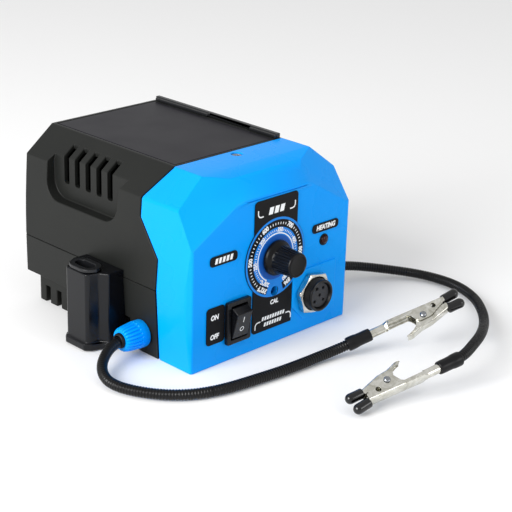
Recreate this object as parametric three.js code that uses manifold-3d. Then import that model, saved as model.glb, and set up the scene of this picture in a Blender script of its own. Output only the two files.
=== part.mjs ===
// Cordless soldering station with two helping-hand arms.
// Millimetres. X runs across the front from left to right, Y from front to back, Z up.
// The origin lies on the surface that the station stands on, on its left-right centre line,
// FRONT_Y behind the flat front panel.

import * as THREE from 'three';
import { mergeVertices } from 'three/addons/utils/BufferGeometryUtils.js';
import Module from 'manifold-3d';

const wasm = await Module();
wasm.setup();

// ---------------------------------------------------------------- driving dimensions

const WALL = 2.2;               // moulded walls
const GAP = 0.3;                // clearance between pieces that touch
const REACH = 40;               // how far a cutter runs past what it cuts

// Case: half widths of its eight-sided section, and the heights where it bends
const CASE_HEIGHT = 87.1;
const CASE_TOP_HALF = 34.6;
const CASE_SHOULDER_HALF = 50.2;
const CASE_SHOULDER_Z = CASE_HEIGHT - 12.1;
const CASE_SEAM_HALF = 53.2;
const SEAM_Z = 34.4;
const CASE_BASE_HALF = 51.2;
const FRONT_Y = -13;
const REAR_Y = 106.8;
const FRONT_EDGE_RADIUS = 6.5;
const REAR_EDGE_RADIUS = 3;

// Front shell: where its top rolls over to the panel, and where it ends against the housing
const VISOR_LIP = 1.2;
const VISOR_LIP_Z = CASE_HEIGHT - 12.2;
const VISOR_STEPS = [[-10.9, CASE_HEIGHT - 5.8], [-6.3, CASE_HEIGHT - 2], [0.2, CASE_HEIGHT]];
const FACET_POINT = [-35.5, 0, CASE_HEIGHT + 0.1];
const FACET_NORMAL = [-0.307, -0.791, 0.529];
const PARTING_TOP_Y = 17.4;
const PARTING_SIDE_Y = 22;
const PARTING_SIDE_Z = 65.9;
const PARTING_LOW_Y = 8.9;
const PARTING_LOW_Z = 49.4;

// Screws, and the one in the top of the front shell
const SCREW_AT = [0, 13];
const SCREW_HEAD_RADIUS = 2.3;
const SCREW_HEAD_HEIGHT = 1.6;
const SCREW_SHANK_RADIUS = 1.2;
const SCREW_LENGTH = 9;
const SCREW_WELL_DEPTH = 2.4;
const SCREW_WELL_RADIUS = 2.7;
const SCREW_BOSS_RADIUS = 4;
const SCREW_BOSS_DEPTH = 9;

// Lower housing: a foot at the front, raised behind it for the battery
const FOOT_CORNER = 6.5;
const BAY_Z = 14.9;

// Side vents
const VENT_FLOOR_HALF = 45.9;
const VENT_FRONT_Y = 38.2;
const VENT_REAR_Y = 90.3;
const VENT_BOTTOM_Z = 57;
const VENT_CORNER = 9;
const VENT_SLOTS = 5;
const VENT_PITCH = 8;
const VENT_FIRST_Y = 49;
const VENT_SLOT_WIDTH = 3.7;
const VENT_SLOT_BOTTOM_Z = 65;
const VENT_SLOT_TOP_HALF = 39.6;

// Top plate and the rail along its right edge
const PLATE_LEFT_X = -32.4;
const PLATE_RIGHT_X = 30;
const PLATE_FRONT_Y = 19.6;
const PLATE_REAR_Y = 104.4;
const PLATE_THICKNESS = 1;
const PLATE_RECESS = 1.2;
const RAIL_WIDTH = 2.4;
const RAIL_TOP_Z = CASE_HEIGHT + 2.2;
const RAIL_LIP = 1.4;
const RAIL_LIP_STRETCHES = [[18.6, 36], [65.6, 104.6]];

// Front panel controls: [x, z] of each centre
const DIAL_AT = [0.5, 43.8];
const DIAL_RADIUS = 19.5;
const LABEL_THICKNESS = 0.4;
const LABEL_LEFT_X = -13.6;
const LABEL_RIGHT_X = 14.4;
const LABEL_BOTTOM_Z = 8.3;
const LABEL_TOP_Z = 73.4;
const LABEL_CORNER = 2;
const MODEL_LABEL = [-40.8, 49, -24, 53.8];
const STATUS_LABEL = [25.2, 48.6, 43.2, 53.1];
const SMALL_LABEL_CORNER = 1.8;
const SWITCH_LABEL_WIDTH = 11.2;
const SWITCH_LABEL_Z = [11.3, 29.4];
const TRIM_AT = [0.4, 26.9];
const TRIM_HOLE_RADIUS = 2.5;
const TRIMMER_HALF = 4.8;
const TRIMMER_DEPTH = 5;
const TRIMMER_SETBACK = 1.2;
const TRIMMER_SCREW_RADIUS = 1.6;
const SWITCH_AT = [-23.4, 19.1];
const SWITCH_BEZEL = [15, 21];
const SWITCH_BODY = [13, 19];
const SWITCH_DEPTH = 12.5;
const SWITCH_BEZEL_HEIGHT = 2;
const ROCKER_SIZE = [9.4, 15];
const ROCKER_CREST = 6.3;   // from the pivot forward to the crest, and up to it
const ROCKER_CREST_UP = 5.3;
const ROCKER_END = 3;
const ROCKER_BACK = [1.4, 3.6];
const ROCKER_ROOM = [1, 1.8];
const ROCKER_PIVOT_Y = -12.6;
const LED_AT = [33.7, 44.1];
const LED_RADIUS = 2.4;
const SOCKET_AT = [25.3, 19.8];
const SOCKET_BARREL_RADIUS = 7.9;
const SOCKET_NUT_WALL = 1.2;
const SOCKET_NUT_HEIGHT = 3;
const SOCKET_NUT_TURN = 11;
const SOCKET_PROUD = 8.2;
const SOCKET_WALL = 1.5;
const SOCKET_CUP_DEPTH = 1.4;
const SOCKET_PAD_HEIGHT = 1;
const SOCKET_PAD_LEFT = 12.6;   // from the socket's centre to each edge of its raised pad
const SOCKET_PAD_RIGHT = 17;
const SOCKET_PAD_UP = 12.6;
const SOCKET_PAD_DOWN = 13;
const SOCKET_PAD_CORNER = 8;
const SOCKET_HOLES = [[0, 0], [-2.1, 3.6], [2.3, 3.3], [2.6, -3], [-3.4, -2.6]];
const SOCKET_HOLE_RADIUS = 0.9;
const SOCKET_DEPTH = 14;

// Knob and potentiometer
const KNOB_LENGTH = 14;
const KNOB_FRONT_RADIUS = 5.9;
const KNOB_BASE_RADIUS = 6.6;
const KNOB_SKIRT_RADIUS = 8.6;
const KNOB_SKIRT_HEIGHT = 3.4;
const KNOB_FLUTES = 12;
const KNOB_FLUTE_DEPTH = 0.55;
const POT_SHAFT_RADIUS = 3;
const POT_BUSH_RADIUS = 3.5;
const POT_BODY_RADIUS = 8;
const POT_BODY_DEPTH = 8;

// Iron holder on the left side
const HOLDER_AT = [-64.8, 44.2];
const HOLDER_TOP_Z = 38.2;
const HOLDER_BOTTOM_Z = 4;
const HOLDER_OUTER_X = -70.4;
const HOLDER_OUTER_HALF = 6.8;
const HOLDER_MID_X = -64.6;
const HOLDER_MID_HALF = 9.2;
const HOLDER_INNER_X = -62;
const HOLDER_INNER_HALF = 13.3;
const HOLDER_FLANGE = 1.3;
const HOLDER_POCKET = [8.4, 14.4];
const HOLDER_POCKET_DEPTH = 30;
const COLLAR_WALL = 1.1;
const COLLAR_RIM = 1.3;
const COLLAR_HEIGHT = 1.6;

// Battery shoe under the raised rear
const SHOE_HALF = 48.6;
const SHOE_FRONT_Y = 38;
const SHOE_REAR_Y = 102.4;
const SHOE_CHANNEL_HALF = 39.5;
const SHOE_CHANNEL_HEIGHT = 9.4;
const SHOE_GROOVE = 3.4;
const SHOE_GROOVE_Z = [3.6, 6.8];
const SHOE_END_WALL = 6;
const SHOE_NOTCH_WIDTH = 3.3;
const SHOE_NOTCH_HEIGHT = 8.6;
const SHOE_NOTCH_YS = [85.6, 94.3];
const TERMINAL_HALF_SPACING = 17;

// Arm glands, nuts and necks
const GLAND_Y = 19.2;
const GLAND_Z = 10.3;
const GLAND_RADIUS = 4.3;
const GLAND_FLANGE = 1.6;
const FOOT_REAR_ROOM = 0.7;
const FOOT_REAR_Y = GLAND_Y + GLAND_RADIUS + GLAND_FLANGE + FOOT_REAR_ROOM + WALL;
const GLAND_LENGTH = 9.6;
const NUT_LENGTH = 12.6;
const NUT_BASE_WALL = 2;
const NUT_END_WALL = 1.9;
const NUT_RIBS = 12;
const NUT_RIB_DEPTH = 0.5;
const NECK_RADIUS = 2.5;
const NECK_BALL_RADIUS = NECK_RADIUS + 0.3;
const NECK_LINKS = 5;
const NECK_SIDES = 8;
const SLEEVE_WALL = 0.7;
const SLEEVE_REACH = 17;   // from the clip back to where the sleeve starts
const SLEEVE_OVER_NECK = 7;

// Clip: its own frame has X from tail to tips, Y from the back of the fixed jaw to the
// thumb lever, and Z along the hinge pin
const CLIP_PIVOT = [20.5, 4.1];
const CLIP_SHEET = 0.5;
const CLIP_FIXED_HALF = 3;
const CLIP_MOVING_HALF = 2.2;
const CLIP_BACK_Y = -1.8;
const CLIP_RAIL_Y = 0.5;   // the low edge of the fixed jaw's cheeks, between its tail and the pin
const CLIP_TAIL_RADIUS = 2.1;
const CLIP_TAIL_BACK = 10;
const CLIP_TAIL_BARE = 5;
const CLIP_TAIL_WALL = 0.7;
const CLIP_WINDOW = [26.8, 1.7];
const CLIP_WINDOW_RADIUS = 1.35;
const CLIP_JAW_END_X = 33;
const CLIP_TONGUE_END_X = 38.5;
const CLIP_TONGUE = [1.2, 3];
const CLIP_PIN_RADIUS = 0.9;
const CLIP_PIN_HEAD_RADIUS = 1.6;
const TIP_RADIUS = 2.4;
const TIP_START_X = 32.2;
const TIP_END_X = 41.2;
const TIP_SPLAY = 1.4;

// Circuit board
const BOARD_HALF = 36;
const BOARD_FRONT_Y = 34;
const BOARD_REAR_Y = 97;
const BOARD_Z = 24;
const BOARD_THICKNESS = 1.6;
const BOARD_POST_RADIUS = 3.4;
const BOARD_POST_INSET = 5;

// ---------------------------------------------------------------- materials

function finish(color, roughness, metalness = 0) {
  return new THREE.MeshStandardMaterial({ color, roughness, metalness });
}

const blueShell = finish(0x1e9bf7, 0.38);
const blackCase = finish(0x3b3d3f, 0.45);
const satinPlate = finish(0x46454c, 0.5);
const labelBlack = finish(0x17181c, 0.35);
const knobBlack = finish(0x101012, 0.4);
const switchBlack = finish(0x16171b, 0.3);
const nickel = finish(0xc9c9c4, 0.25, 1);
const brass = finish(0xc7a14d, 0.3, 1);
const greyInsert = finish(0x4a4c50, 0.5);
const lensRed = finish(0x4d1010, 0.15);
const boardGreen = finish(0x1f6b3a, 0.5);
const aluminium = finish(0xb4b6ba, 0.35, 1);
const steel = finish(0x9a9da1, 0.3, 1);
const vinyl = finish(0x0d0d0f, 0.3);
const neckBlack = finish(0x141416, 0.45);

// ---------------------------------------------------------------- solids and outlines

function solid(geometry) {
  const bare = geometry.clone();
  bare.deleteAttribute('normal');
  bare.deleteAttribute('uv');
  const merged = mergeVertices(bare, 1e-5);
  return new wasm.Manifold(new wasm.Mesh({
    numProp: 3,
    vertProperties: new Float32Array(merged.attributes.position.array),
    triVerts: new Uint32Array(merged.index.array),
  }));
}

function geometryOf(body) {
  const mesh = body.getMesh();
  const geometry = new THREE.BufferGeometry();
  geometry.setAttribute('position', new THREE.BufferAttribute(new Float32Array(mesh.vertProperties), 3));
  geometry.setIndex(new THREE.BufferAttribute(new Uint32Array(mesh.triVerts), 1));
  return geometry;
}

function shapeOf(outline) {
  if (!Array.isArray(outline)) return outline;
  return new THREE.Shape(outline.map(([a, b]) => new THREE.Vector2(a, b)));
}

// A straight prism along one axis. The outline is given in the other two: XY, XZ or YZ.
function prism(axis, outline, from, to, curveSegments = 3) {
  const geometry = new THREE.ExtrudeGeometry(shapeOf(outline), {
    depth: to - from, bevelEnabled: false, curveSegments,
  });
  if (axis === 'z') geometry.translate(0, 0, from);
  if (axis === 'y') geometry.rotateX(Math.PI / 2).translate(0, to, 0);
  if (axis === 'x') {
    const basis = new THREE.Matrix4().makeBasis(
      new THREE.Vector3(0, 1, 0), new THREE.Vector3(0, 0, 1), new THREE.Vector3(1, 0, 0));
    geometry.applyMatrix4(basis).translate(from, 0, 0);
  }
  return solid(geometry);
}

function box(x0, x1, y0, y1, z0, z1) {
  const geometry = new THREE.BoxGeometry(x1 - x0, y1 - y0, z1 - z0);
  geometry.translate((x0 + x1) / 2, (y0 + y1) / 2, (z0 + z1) / 2);
  return solid(geometry);
}

// A round bar along an axis; `at` holds its two other coordinates in axis order.
function bar(axis, at, radius, from, to, sides = 16, endRadius = radius) {
  const geometry = new THREE.CylinderGeometry(endRadius, radius, to - from, sides);
  geometry.translate(0, (from + to) / 2, 0);
  if (axis === 'x') geometry.rotateZ(-Math.PI / 2).translate(0, at[0], at[1]);
  if (axis === 'y') geometry.translate(at[0], 0, at[1]);
  if (axis === 'z') geometry.rotateX(Math.PI / 2).translate(at[0], at[1], 0);
  return solid(geometry);
}

function roundedRect(a0, b0, a1, b1, radius) {
  const shape = new THREE.Shape();
  shape.moveTo(a0 + radius, b0);
  shape.lineTo(a1 - radius, b0);
  shape.absarc(a1 - radius, b0 + radius, radius, -Math.PI / 2, 0);
  shape.lineTo(a1, b1 - radius);
  shape.absarc(a1 - radius, b1 - radius, radius, 0, Math.PI / 2);
  shape.lineTo(a0 + radius, b1);
  shape.absarc(a0 + radius, b1 - radius, radius, Math.PI / 2, Math.PI);
  shape.lineTo(a0, b0 + radius);
  shape.absarc(a0 + radius, b0 + radius, radius, Math.PI, 1.5 * Math.PI);
  return shape;
}

function centredRect([a, b], [width, height], radius) {
  return roundedRect(a - width / 2, b - height / 2, a + width / 2, b + height / 2, radius);
}

// Moves every side of a convex outline, listed anticlockwise, inward by `distance`.
function inset(outline, distance) {
  const lines = outline.map(([a, b], i) => {
    const [c, d] = outline[(i + 1) % outline.length];
    const length = Math.hypot(c - a, d - b);
    const normal = [-(d - b) / length, (c - a) / length];
    return { normal, offset: normal[0] * a + normal[1] * b + distance };
  });
  return lines.map((line, i) => {
    const before = lines[(i + lines.length - 1) % lines.length];
    const cross = before.normal[0] * line.normal[1] - before.normal[1] * line.normal[0];
    return [
      (before.offset * line.normal[1] - line.offset * before.normal[1]) / cross,
      (line.offset * before.normal[0] - before.offset * line.normal[0]) / cross,
    ];
  });
}

function mirrored(body) {
  return body.mirror([1, 0, 0]);
}

// ---------------------------------------------------------------- the scene

const station = new THREE.Group();
station.name = 'soldering_station';

function addPart(name, body, material, group = station) {
  const mesh = new THREE.Mesh(geometryOf(body), material);
  mesh.name = name;
  group.add(mesh);
  return mesh;
}

// ---------------------------------------------------------------- case form

// The outer form of the whole case, shrunk by `depth` all round.
function caseForm(depth) {
  const section = inset([
    [-CASE_BASE_HALF, 0], [CASE_BASE_HALF, 0], [CASE_SEAM_HALF, SEAM_Z],
    [CASE_SHOULDER_HALF, CASE_SHOULDER_Z], [CASE_TOP_HALF, CASE_HEIGHT],
    [-CASE_TOP_HALF, CASE_HEIGHT], [-CASE_SHOULDER_HALF, CASE_SHOULDER_Z],
    [-CASE_SEAM_HALF, SEAM_Z],
  ], depth);
  const plan = roundedCase(depth);
  const lipY = FRONT_Y - VISOR_LIP;
  const side = [
    [FRONT_Y + depth, depth], [REAR_Y - depth, depth], [REAR_Y - depth, CASE_HEIGHT - depth],
    [VISOR_STEPS[2][0] + depth / 4, VISOR_STEPS[2][1] - depth],
    [VISOR_STEPS[1][0] + depth / 2, VISOR_STEPS[1][1] - depth],
    [VISOR_STEPS[0][0] + depth, VISOR_STEPS[0][1] - depth / 2],
    [lipY + depth, VISOR_LIP_Z], [FRONT_Y + depth, VISOR_LIP_Z - VISOR_LIP],
  ];
  let form = prism('y', section, FRONT_Y - 2, REAR_Y + 2);
  form = form.intersect(prism('z', plan, -1, CASE_HEIGHT + 1));
  form = form.intersect(prism('x', side, -CASE_SEAM_HALF - 2, CASE_SEAM_HALF + 2));
  const normal = new THREE.Vector3(...FACET_NORMAL).normalize();
  const facet = facetCutter(normal, depth);
  return form.subtract(facet).subtract(mirrored(facet));
}

function roundedCase(depth) {
  const half = CASE_SEAM_HALF - depth;
  const front = FRONT_Y - VISOR_LIP + depth;
  const rear = REAR_Y - depth;
  const frontRadius = Math.max(FRONT_EDGE_RADIUS - depth, 0.8);
  const rearRadius = Math.max(REAR_EDGE_RADIUS - depth, 0.8);
  const shape = new THREE.Shape();
  shape.moveTo(-half + frontRadius, front);
  shape.lineTo(half - frontRadius, front);
  shape.absarc(half - frontRadius, front + frontRadius, frontRadius, -Math.PI / 2, 0);
  shape.lineTo(half, rear - rearRadius);
  shape.absarc(half - rearRadius, rear - rearRadius, rearRadius, 0, Math.PI / 2);
  shape.lineTo(-half + rearRadius, rear);
  shape.absarc(-half + rearRadius, rear - rearRadius, rearRadius, Math.PI / 2, Math.PI);
  shape.lineTo(-half, front + frontRadius);
  shape.absarc(-half + frontRadius, front + frontRadius, frontRadius, Math.PI, 1.5 * Math.PI);
  return shape;
}

// A block whose near face is the flat kite-shaped facet at the upper left front corner.
function facetCutter(normal, depth) {
  const geometry = new THREE.BoxGeometry(120, 120, REACH);
  geometry.translate(0, 0, REACH / 2);
  const turn = new THREE.Quaternion().setFromUnitVectors(new THREE.Vector3(0, 0, 1), normal);
  const at = new THREE.Vector3(...FACET_POINT).addScaledVector(normal, -depth);
  geometry.applyQuaternion(turn).translate(at.x, at.y, at.z);
  return solid(geometry);
}

// Everything in front of the styled parting line, moved back by `shift`.
function inFrontOfParting(shift) {
  return prism('x', [
    [-REACH, -REACH], [PARTING_LOW_Y + shift, -REACH], [PARTING_LOW_Y + shift, PARTING_LOW_Z],
    [PARTING_SIDE_Y + shift, PARTING_SIDE_Z], [PARTING_SIDE_Y + shift, CASE_SHOULDER_Z],
    [PARTING_TOP_Y + shift, CASE_HEIGHT], [PARTING_TOP_Y + shift, CASE_HEIGHT + REACH],
    [-REACH, CASE_HEIGHT + REACH],
  ], -80, 80);
}

const outerForm = caseForm(0);
const innerForm = caseForm(WALL);

// ---------------------------------------------------------------- front shell

function socketPad() {
  const [x, z] = SOCKET_AT;
  const right = x + SOCKET_PAD_RIGHT;
  const left = x - SOCKET_PAD_LEFT;
  const top = z + SOCKET_PAD_UP;
  const bottom = z - SOCKET_PAD_DOWN;
  return prism('y', [
    [left + SOCKET_PAD_CORNER, bottom], [right, bottom], [right, top], [left, top],
    [left, bottom + SOCKET_PAD_CORNER],
  ], FRONT_Y - SOCKET_PAD_HEIGHT, FRONT_Y + WALL);
}

function frontShell() {
  let shell = outerForm.subtract(innerForm).intersect(inFrontOfParting(0));
  shell = shell.add(socketPad());
  const bossTop = CASE_HEIGHT - WALL / 2;
  shell = shell.add(bar('z', SCREW_AT, SCREW_BOSS_RADIUS, CASE_HEIGHT - SCREW_BOSS_DEPTH, bossTop));
  const cutters = [
    bar('z', SCREW_AT, SCREW_WELL_RADIUS, CASE_HEIGHT - SCREW_WELL_DEPTH, CASE_HEIGHT + 1),
    bar('z', SCREW_AT, SCREW_SHANK_RADIUS + GAP, CASE_HEIGHT - REACH, CASE_HEIGHT + 1, 16),
    panelHole(DIAL_AT, POT_BUSH_RADIUS + GAP),
    panelHole(TRIM_AT, TRIM_HOLE_RADIUS),
    panelHole(LED_AT, LED_RADIUS + GAP),
    panelHole(SOCKET_AT, SOCKET_BARREL_RADIUS + GAP),
    prism('y', centredRect(SWITCH_AT, SWITCH_BODY.map((size) => size + 2 * GAP), 0.6),
      FRONT_Y - 5, FRONT_Y + 10),
  ];
  return cutters.reduce((body, cutter) => body.subtract(cutter), shell);
}

function panelHole(at, radius) {
  return bar('y', at, radius, FRONT_Y - 5, FRONT_Y + 10);
}

addPart('front_shell', frontShell(), blueShell);

function topScrew() {
  const headTop = CASE_HEIGHT - SCREW_WELL_DEPTH + GAP + SCREW_HEAD_HEIGHT;
  const head = bar('z', SCREW_AT, SCREW_HEAD_RADIUS, headTop - SCREW_HEAD_HEIGHT, headTop);
  const shank = bar('z', SCREW_AT, SCREW_SHANK_RADIUS, headTop - SCREW_LENGTH, headTop - 1, 16);
  const cross = box(-1.3, 1.3, -0.3, 0.3, headTop - 0.8, headTop + 1);
  const slot = cross.add(cross.rotate([0, 0, 90])).translate([SCREW_AT[0], SCREW_AT[1], 0]);
  return head.add(shank).subtract(slot);
}

addPart('top_screw', topScrew(), steel);

// ---------------------------------------------------------------- housings

function ventPocket(floorHalf, grow) {
  const y0 = VENT_FRONT_Y - grow;
  const y1 = VENT_REAR_Y + grow;
  const z0 = VENT_BOTTOM_Z - grow;
  const radius = VENT_CORNER + grow;
  const shape = new THREE.Shape();
  shape.moveTo(y0 + radius, z0);
  shape.lineTo(y1 - radius, z0);
  shape.absarc(y1 - radius, z0 + radius, radius, -Math.PI / 2, 0);
  shape.lineTo(y1, CASE_SHOULDER_Z);
  shape.lineTo(y1 - 4, CASE_HEIGHT);
  shape.lineTo(y0 - 4, CASE_HEIGHT);
  shape.lineTo(y0, CASE_SHOULDER_Z - 4);
  shape.lineTo(y0, z0 + radius);
  shape.absarc(y0 + radius, z0 + radius, radius, Math.PI, 1.5 * Math.PI);
  return prism('x', shape, -CASE_SEAM_HALF - 5, -floorHalf);
}

function ventSlots() {
  const slots = [];
  for (let i = 0; i < VENT_SLOTS; i += 1) {
    const y = VENT_FIRST_Y + i * VENT_PITCH;
    const z1 = CASE_HEIGHT + 2;
    slots.push(prism('x', roundedRect(
      y - VENT_SLOT_WIDTH / 2, VENT_SLOT_BOTTOM_Z, y + VENT_SLOT_WIDTH / 2, z1, 1,
    ), -CASE_SEAM_HALF - 5, -VENT_SLOT_TOP_HALF, 2));
  }
  return slots;
}

function upperHousing() {
  const region = box(-80, 80, -REACH, REAR_Y + 5, SEAM_Z + GAP / 2, CASE_HEIGHT + 5)
    .subtract(inFrontOfParting(GAP));
  const ventBacks = ventPocket(VENT_FLOOR_HALF - WALL, WALL);
  const cavity = innerForm.subtract(ventBacks).subtract(mirrored(ventBacks));
  let shell = outerForm.subtract(cavity).intersect(region);
  const pocket = ventPocket(VENT_FLOOR_HALF, 0);
  for (const cutter of [pocket, ...ventSlots()]) {
    shell = shell.subtract(cutter).subtract(mirrored(cutter));
  }
  return shell.subtract(box(
    PLATE_LEFT_X - GAP, PLATE_RIGHT_X + GAP, PLATE_FRONT_Y - GAP, PLATE_REAR_Y + GAP,
    CASE_HEIGHT - PLATE_RECESS, CASE_HEIGHT + 1));
}

function lowerOutline(depth) {
  const shape = new THREE.Shape();
  const foot = FOOT_REAR_Y - depth;
  const corner = FOOT_CORNER - depth;
  const front = PARTING_LOW_Y + GAP;
  shape.moveTo(front, depth);
  shape.lineTo(foot - corner, depth);
  shape.absarc(foot - corner, depth + corner, corner, -Math.PI / 2, 0);
  shape.lineTo(foot, BAY_Z + depth);
  shape.lineTo(REAR_Y - depth, BAY_Z + depth);
  shape.lineTo(REAR_Y - depth, SEAM_Z - GAP / 2);
  shape.lineTo(front, SEAM_Z - GAP / 2);
  return shape;
}

const boardPosts = [-1, 1].flatMap((side) => [BOARD_FRONT_Y, BOARD_REAR_Y].map((y) => [
  side * (BOARD_HALF - BOARD_POST_INSET),
  y === BOARD_FRONT_Y ? y + BOARD_POST_INSET : y - BOARD_POST_INSET,
]));

function lowerHousing() {
  let shell = outerForm.intersect(prism('x', lowerOutline(0), -80, 80))
    .subtract(innerForm.intersect(prism('x', lowerOutline(WALL), -80, 80)));
  for (const at of boardPosts) {
    shell = shell.add(bar('z', at, BOARD_POST_RADIUS, BAY_Z + WALL / 2, BOARD_Z - GAP, 16))
      .subtract(bar('z', at, SCREW_SHANK_RADIUS + GAP, BAY_Z + WALL + 1, BOARD_Z + 1, 12));
  }
  const bore = bar('x', [GLAND_Y, GLAND_Z], GLAND_RADIUS + GAP, -80, 80);
  return shell.subtract(bore);
}

addPart('upper_housing', upperHousing(), blackCase);
addPart('lower_housing', lowerHousing(), blackCase);

addPart('top_plate', box(
  PLATE_LEFT_X, PLATE_RIGHT_X, PLATE_FRONT_Y, PLATE_REAR_Y,
  CASE_HEIGHT - PLATE_RECESS + GAP / 2, CASE_HEIGHT - PLATE_RECESS + GAP / 2 + PLATE_THICKNESS), satinPlate);

function topRail() {
  const x1 = CASE_TOP_HALF - GAP;
  const x0 = x1 - RAIL_WIDTH;
  const z0 = CASE_HEIGHT + GAP / 2;
  let rail = box(x0, x1, PARTING_TOP_Y + 1, REAR_Y - 1, z0, RAIL_TOP_Z);
  for (const [y0, y1] of RAIL_LIP_STRETCHES) {
    rail = rail.add(box(x0 - RAIL_LIP, x0 + 0.5, y0, y1, z0, RAIL_TOP_Z - 0.5));
  }
  return rail;
}

addPart('top_rail', topRail(), blackCase);

// ---------------------------------------------------------------- panel labels

function panelLabel() {
  const y0 = FRONT_Y - GAP / 2 - LABEL_THICKNESS;
  const y1 = FRONT_Y - GAP / 2;
  const plate = prism('y', roundedRect(
    LABEL_LEFT_X, LABEL_BOTTOM_Z, LABEL_RIGHT_X, LABEL_TOP_Z, LABEL_CORNER), y0, y1, 2);
  const disc = bar('y', DIAL_AT, DIAL_RADIUS, y0, y1, 48);
  const padEdge = SOCKET_AT[0] - SOCKET_PAD_LEFT - GAP;
  const padTop = SOCKET_AT[1] + SOCKET_PAD_UP + GAP;
  return plate.add(disc)
    .subtract(panelHole(DIAL_AT, POT_BUSH_RADIUS + 2.5))
    .subtract(panelHole(TRIM_AT, TRIM_HOLE_RADIUS))
    .subtract(box(padEdge, padEdge + REACH, FRONT_Y - 5, FRONT_Y + 1, 0, padTop));
}

function smallLabel([x0, z0, x1, z1]) {
  return prism('y', roundedRect(x0, z0, x1, z1, SMALL_LABEL_CORNER),
    FRONT_Y - GAP / 2 - LABEL_THICKNESS, FRONT_Y - GAP / 2, 2);
}

const switchLabelRight = SWITCH_AT[0] - SWITCH_BEZEL[0] / 2 - GAP;
addPart('panel_label', panelLabel(), labelBlack);
addPart('model_label', smallLabel(MODEL_LABEL), labelBlack);
addPart('status_label', smallLabel(STATUS_LABEL), labelBlack);
addPart('switch_label', smallLabel([
  switchLabelRight - SWITCH_LABEL_WIDTH, SWITCH_LABEL_Z[0], switchLabelRight, SWITCH_LABEL_Z[1],
]), labelBlack);

// ---------------------------------------------------------------- knob and potentiometer

function knob() {
  const [x, z] = DIAL_AT;
  const base = FRONT_Y - GAP - LABEL_THICKNESS - 0.4;
  const front = base - KNOB_LENGTH;
  const profile = [
    [0, 0], [KNOB_SKIRT_RADIUS, 0], [KNOB_SKIRT_RADIUS, 0.7],
    [KNOB_SKIRT_RADIUS - 0.45, KNOB_SKIRT_HEIGHT * 0.5], [KNOB_BASE_RADIUS + 0.7, KNOB_SKIRT_HEIGHT * 0.78],
    [KNOB_BASE_RADIUS, KNOB_SKIRT_HEIGHT],
    [KNOB_FRONT_RADIUS, KNOB_LENGTH - 0.8], [KNOB_FRONT_RADIUS - 0.8, KNOB_LENGTH], [0, KNOB_LENGTH],
  ].map(([r, h]) => new THREE.Vector2(r, h));
  const turned = new THREE.LatheGeometry(profile, KNOB_FLUTES * 2);
  turned.rotateX(Math.PI).translate(x, base, z);
  let body = solid(turned);
  for (let i = 0; i < KNOB_FLUTES; i += 1) {
    const angle = (i / KNOB_FLUTES) * 2 * Math.PI;
    const reach = KNOB_BASE_RADIUS + 0.35;
    const at = [x + reach * Math.cos(angle), z + reach * Math.sin(angle)];
    body = body.subtract(bar('y', at, KNOB_FLUTE_DEPTH + 0.4, front - 1, base - KNOB_SKIRT_HEIGHT, 6));
  }
  const bore = bar('y', DIAL_AT, POT_SHAFT_RADIUS + GAP, front + 2, base + 1, 20);
  const nutRoom = bar('y', DIAL_AT, 6.2, base - 2.4, base + 1, 24);
  return body.subtract(bore).subtract(nutRoom);
}

const BUSH_END_Y = FRONT_Y - 2.2;

function potBody() {
  const y0 = FRONT_Y + WALL + GAP;
  const can = bar('y', DIAL_AT, POT_BODY_RADIUS, y0, y0 + POT_BODY_DEPTH, 20);
  const bush = bar('y', DIAL_AT, POT_BUSH_RADIUS, BUSH_END_Y, y0 + 1, 14);
  const tags = box(DIAL_AT[0] - 5, DIAL_AT[0] + 5, y0 + 1, y0 + 3,
    DIAL_AT[1] - POT_BODY_RADIUS - 3.4, DIAL_AT[1] - 4);
  const bore = bar('y', DIAL_AT, POT_SHAFT_RADIUS + GAP / 2, BUSH_END_Y - 1, y0 + 4, 14);
  return can.add(bush).add(tags).subtract(bore);
}

function potShaft() {
  const y0 = FRONT_Y - KNOB_LENGTH + 2;
  return bar('y', DIAL_AT, POT_SHAFT_RADIUS, y0, FRONT_Y + WALL + GAP + 3.5, 14);
}

function potNut() {
  const y1 = FRONT_Y - GAP / 2;
  return bar('y', DIAL_AT, 5.4, y1 - 1.6, y1, 6)
    .subtract(bar('y', DIAL_AT, POT_BUSH_RADIUS + GAP / 2, y1 - 3, y1 + 1, 20));
}

addPart('knob', knob(), knobBlack);
addPart('pot_body', potBody(), steel);
addPart('pot_shaft', potShaft(), brass);
addPart('pot_nut', potNut(), nickel);

// ---------------------------------------------------------------- rocker switch

const bezelFront = FRONT_Y - GAP / 2 - SWITCH_BEZEL_HEIGHT;

function rockerHousing() {
  const bezel = prism('y', centredRect(SWITCH_AT, SWITCH_BEZEL, 1), bezelFront, FRONT_Y - GAP / 2, 1);
  const body = prism('y', centredRect(SWITCH_AT, SWITCH_BODY, 0.5),
    FRONT_Y - 1, FRONT_Y + SWITCH_DEPTH, 1);
  const opening = prism('y', centredRect(SWITCH_AT, ROCKER_SIZE.map((size, i) => size + ROCKER_ROOM[i]), 0.4),
    bezelFront - 1, FRONT_Y + 7.5, 1);
  const [x, z] = SWITCH_AT;
  let housing = bezel.add(body).subtract(opening);
  for (const side of [-1, 0, 1]) {
    housing = housing.add(box(x - 3.2, x + 3.2, FRONT_Y + SWITCH_DEPTH - 1, FRONT_Y + SWITCH_DEPTH + 7,
      z + side * 6 - 0.4, z + side * 6 + 0.4));
  }
  return housing;
}

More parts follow.
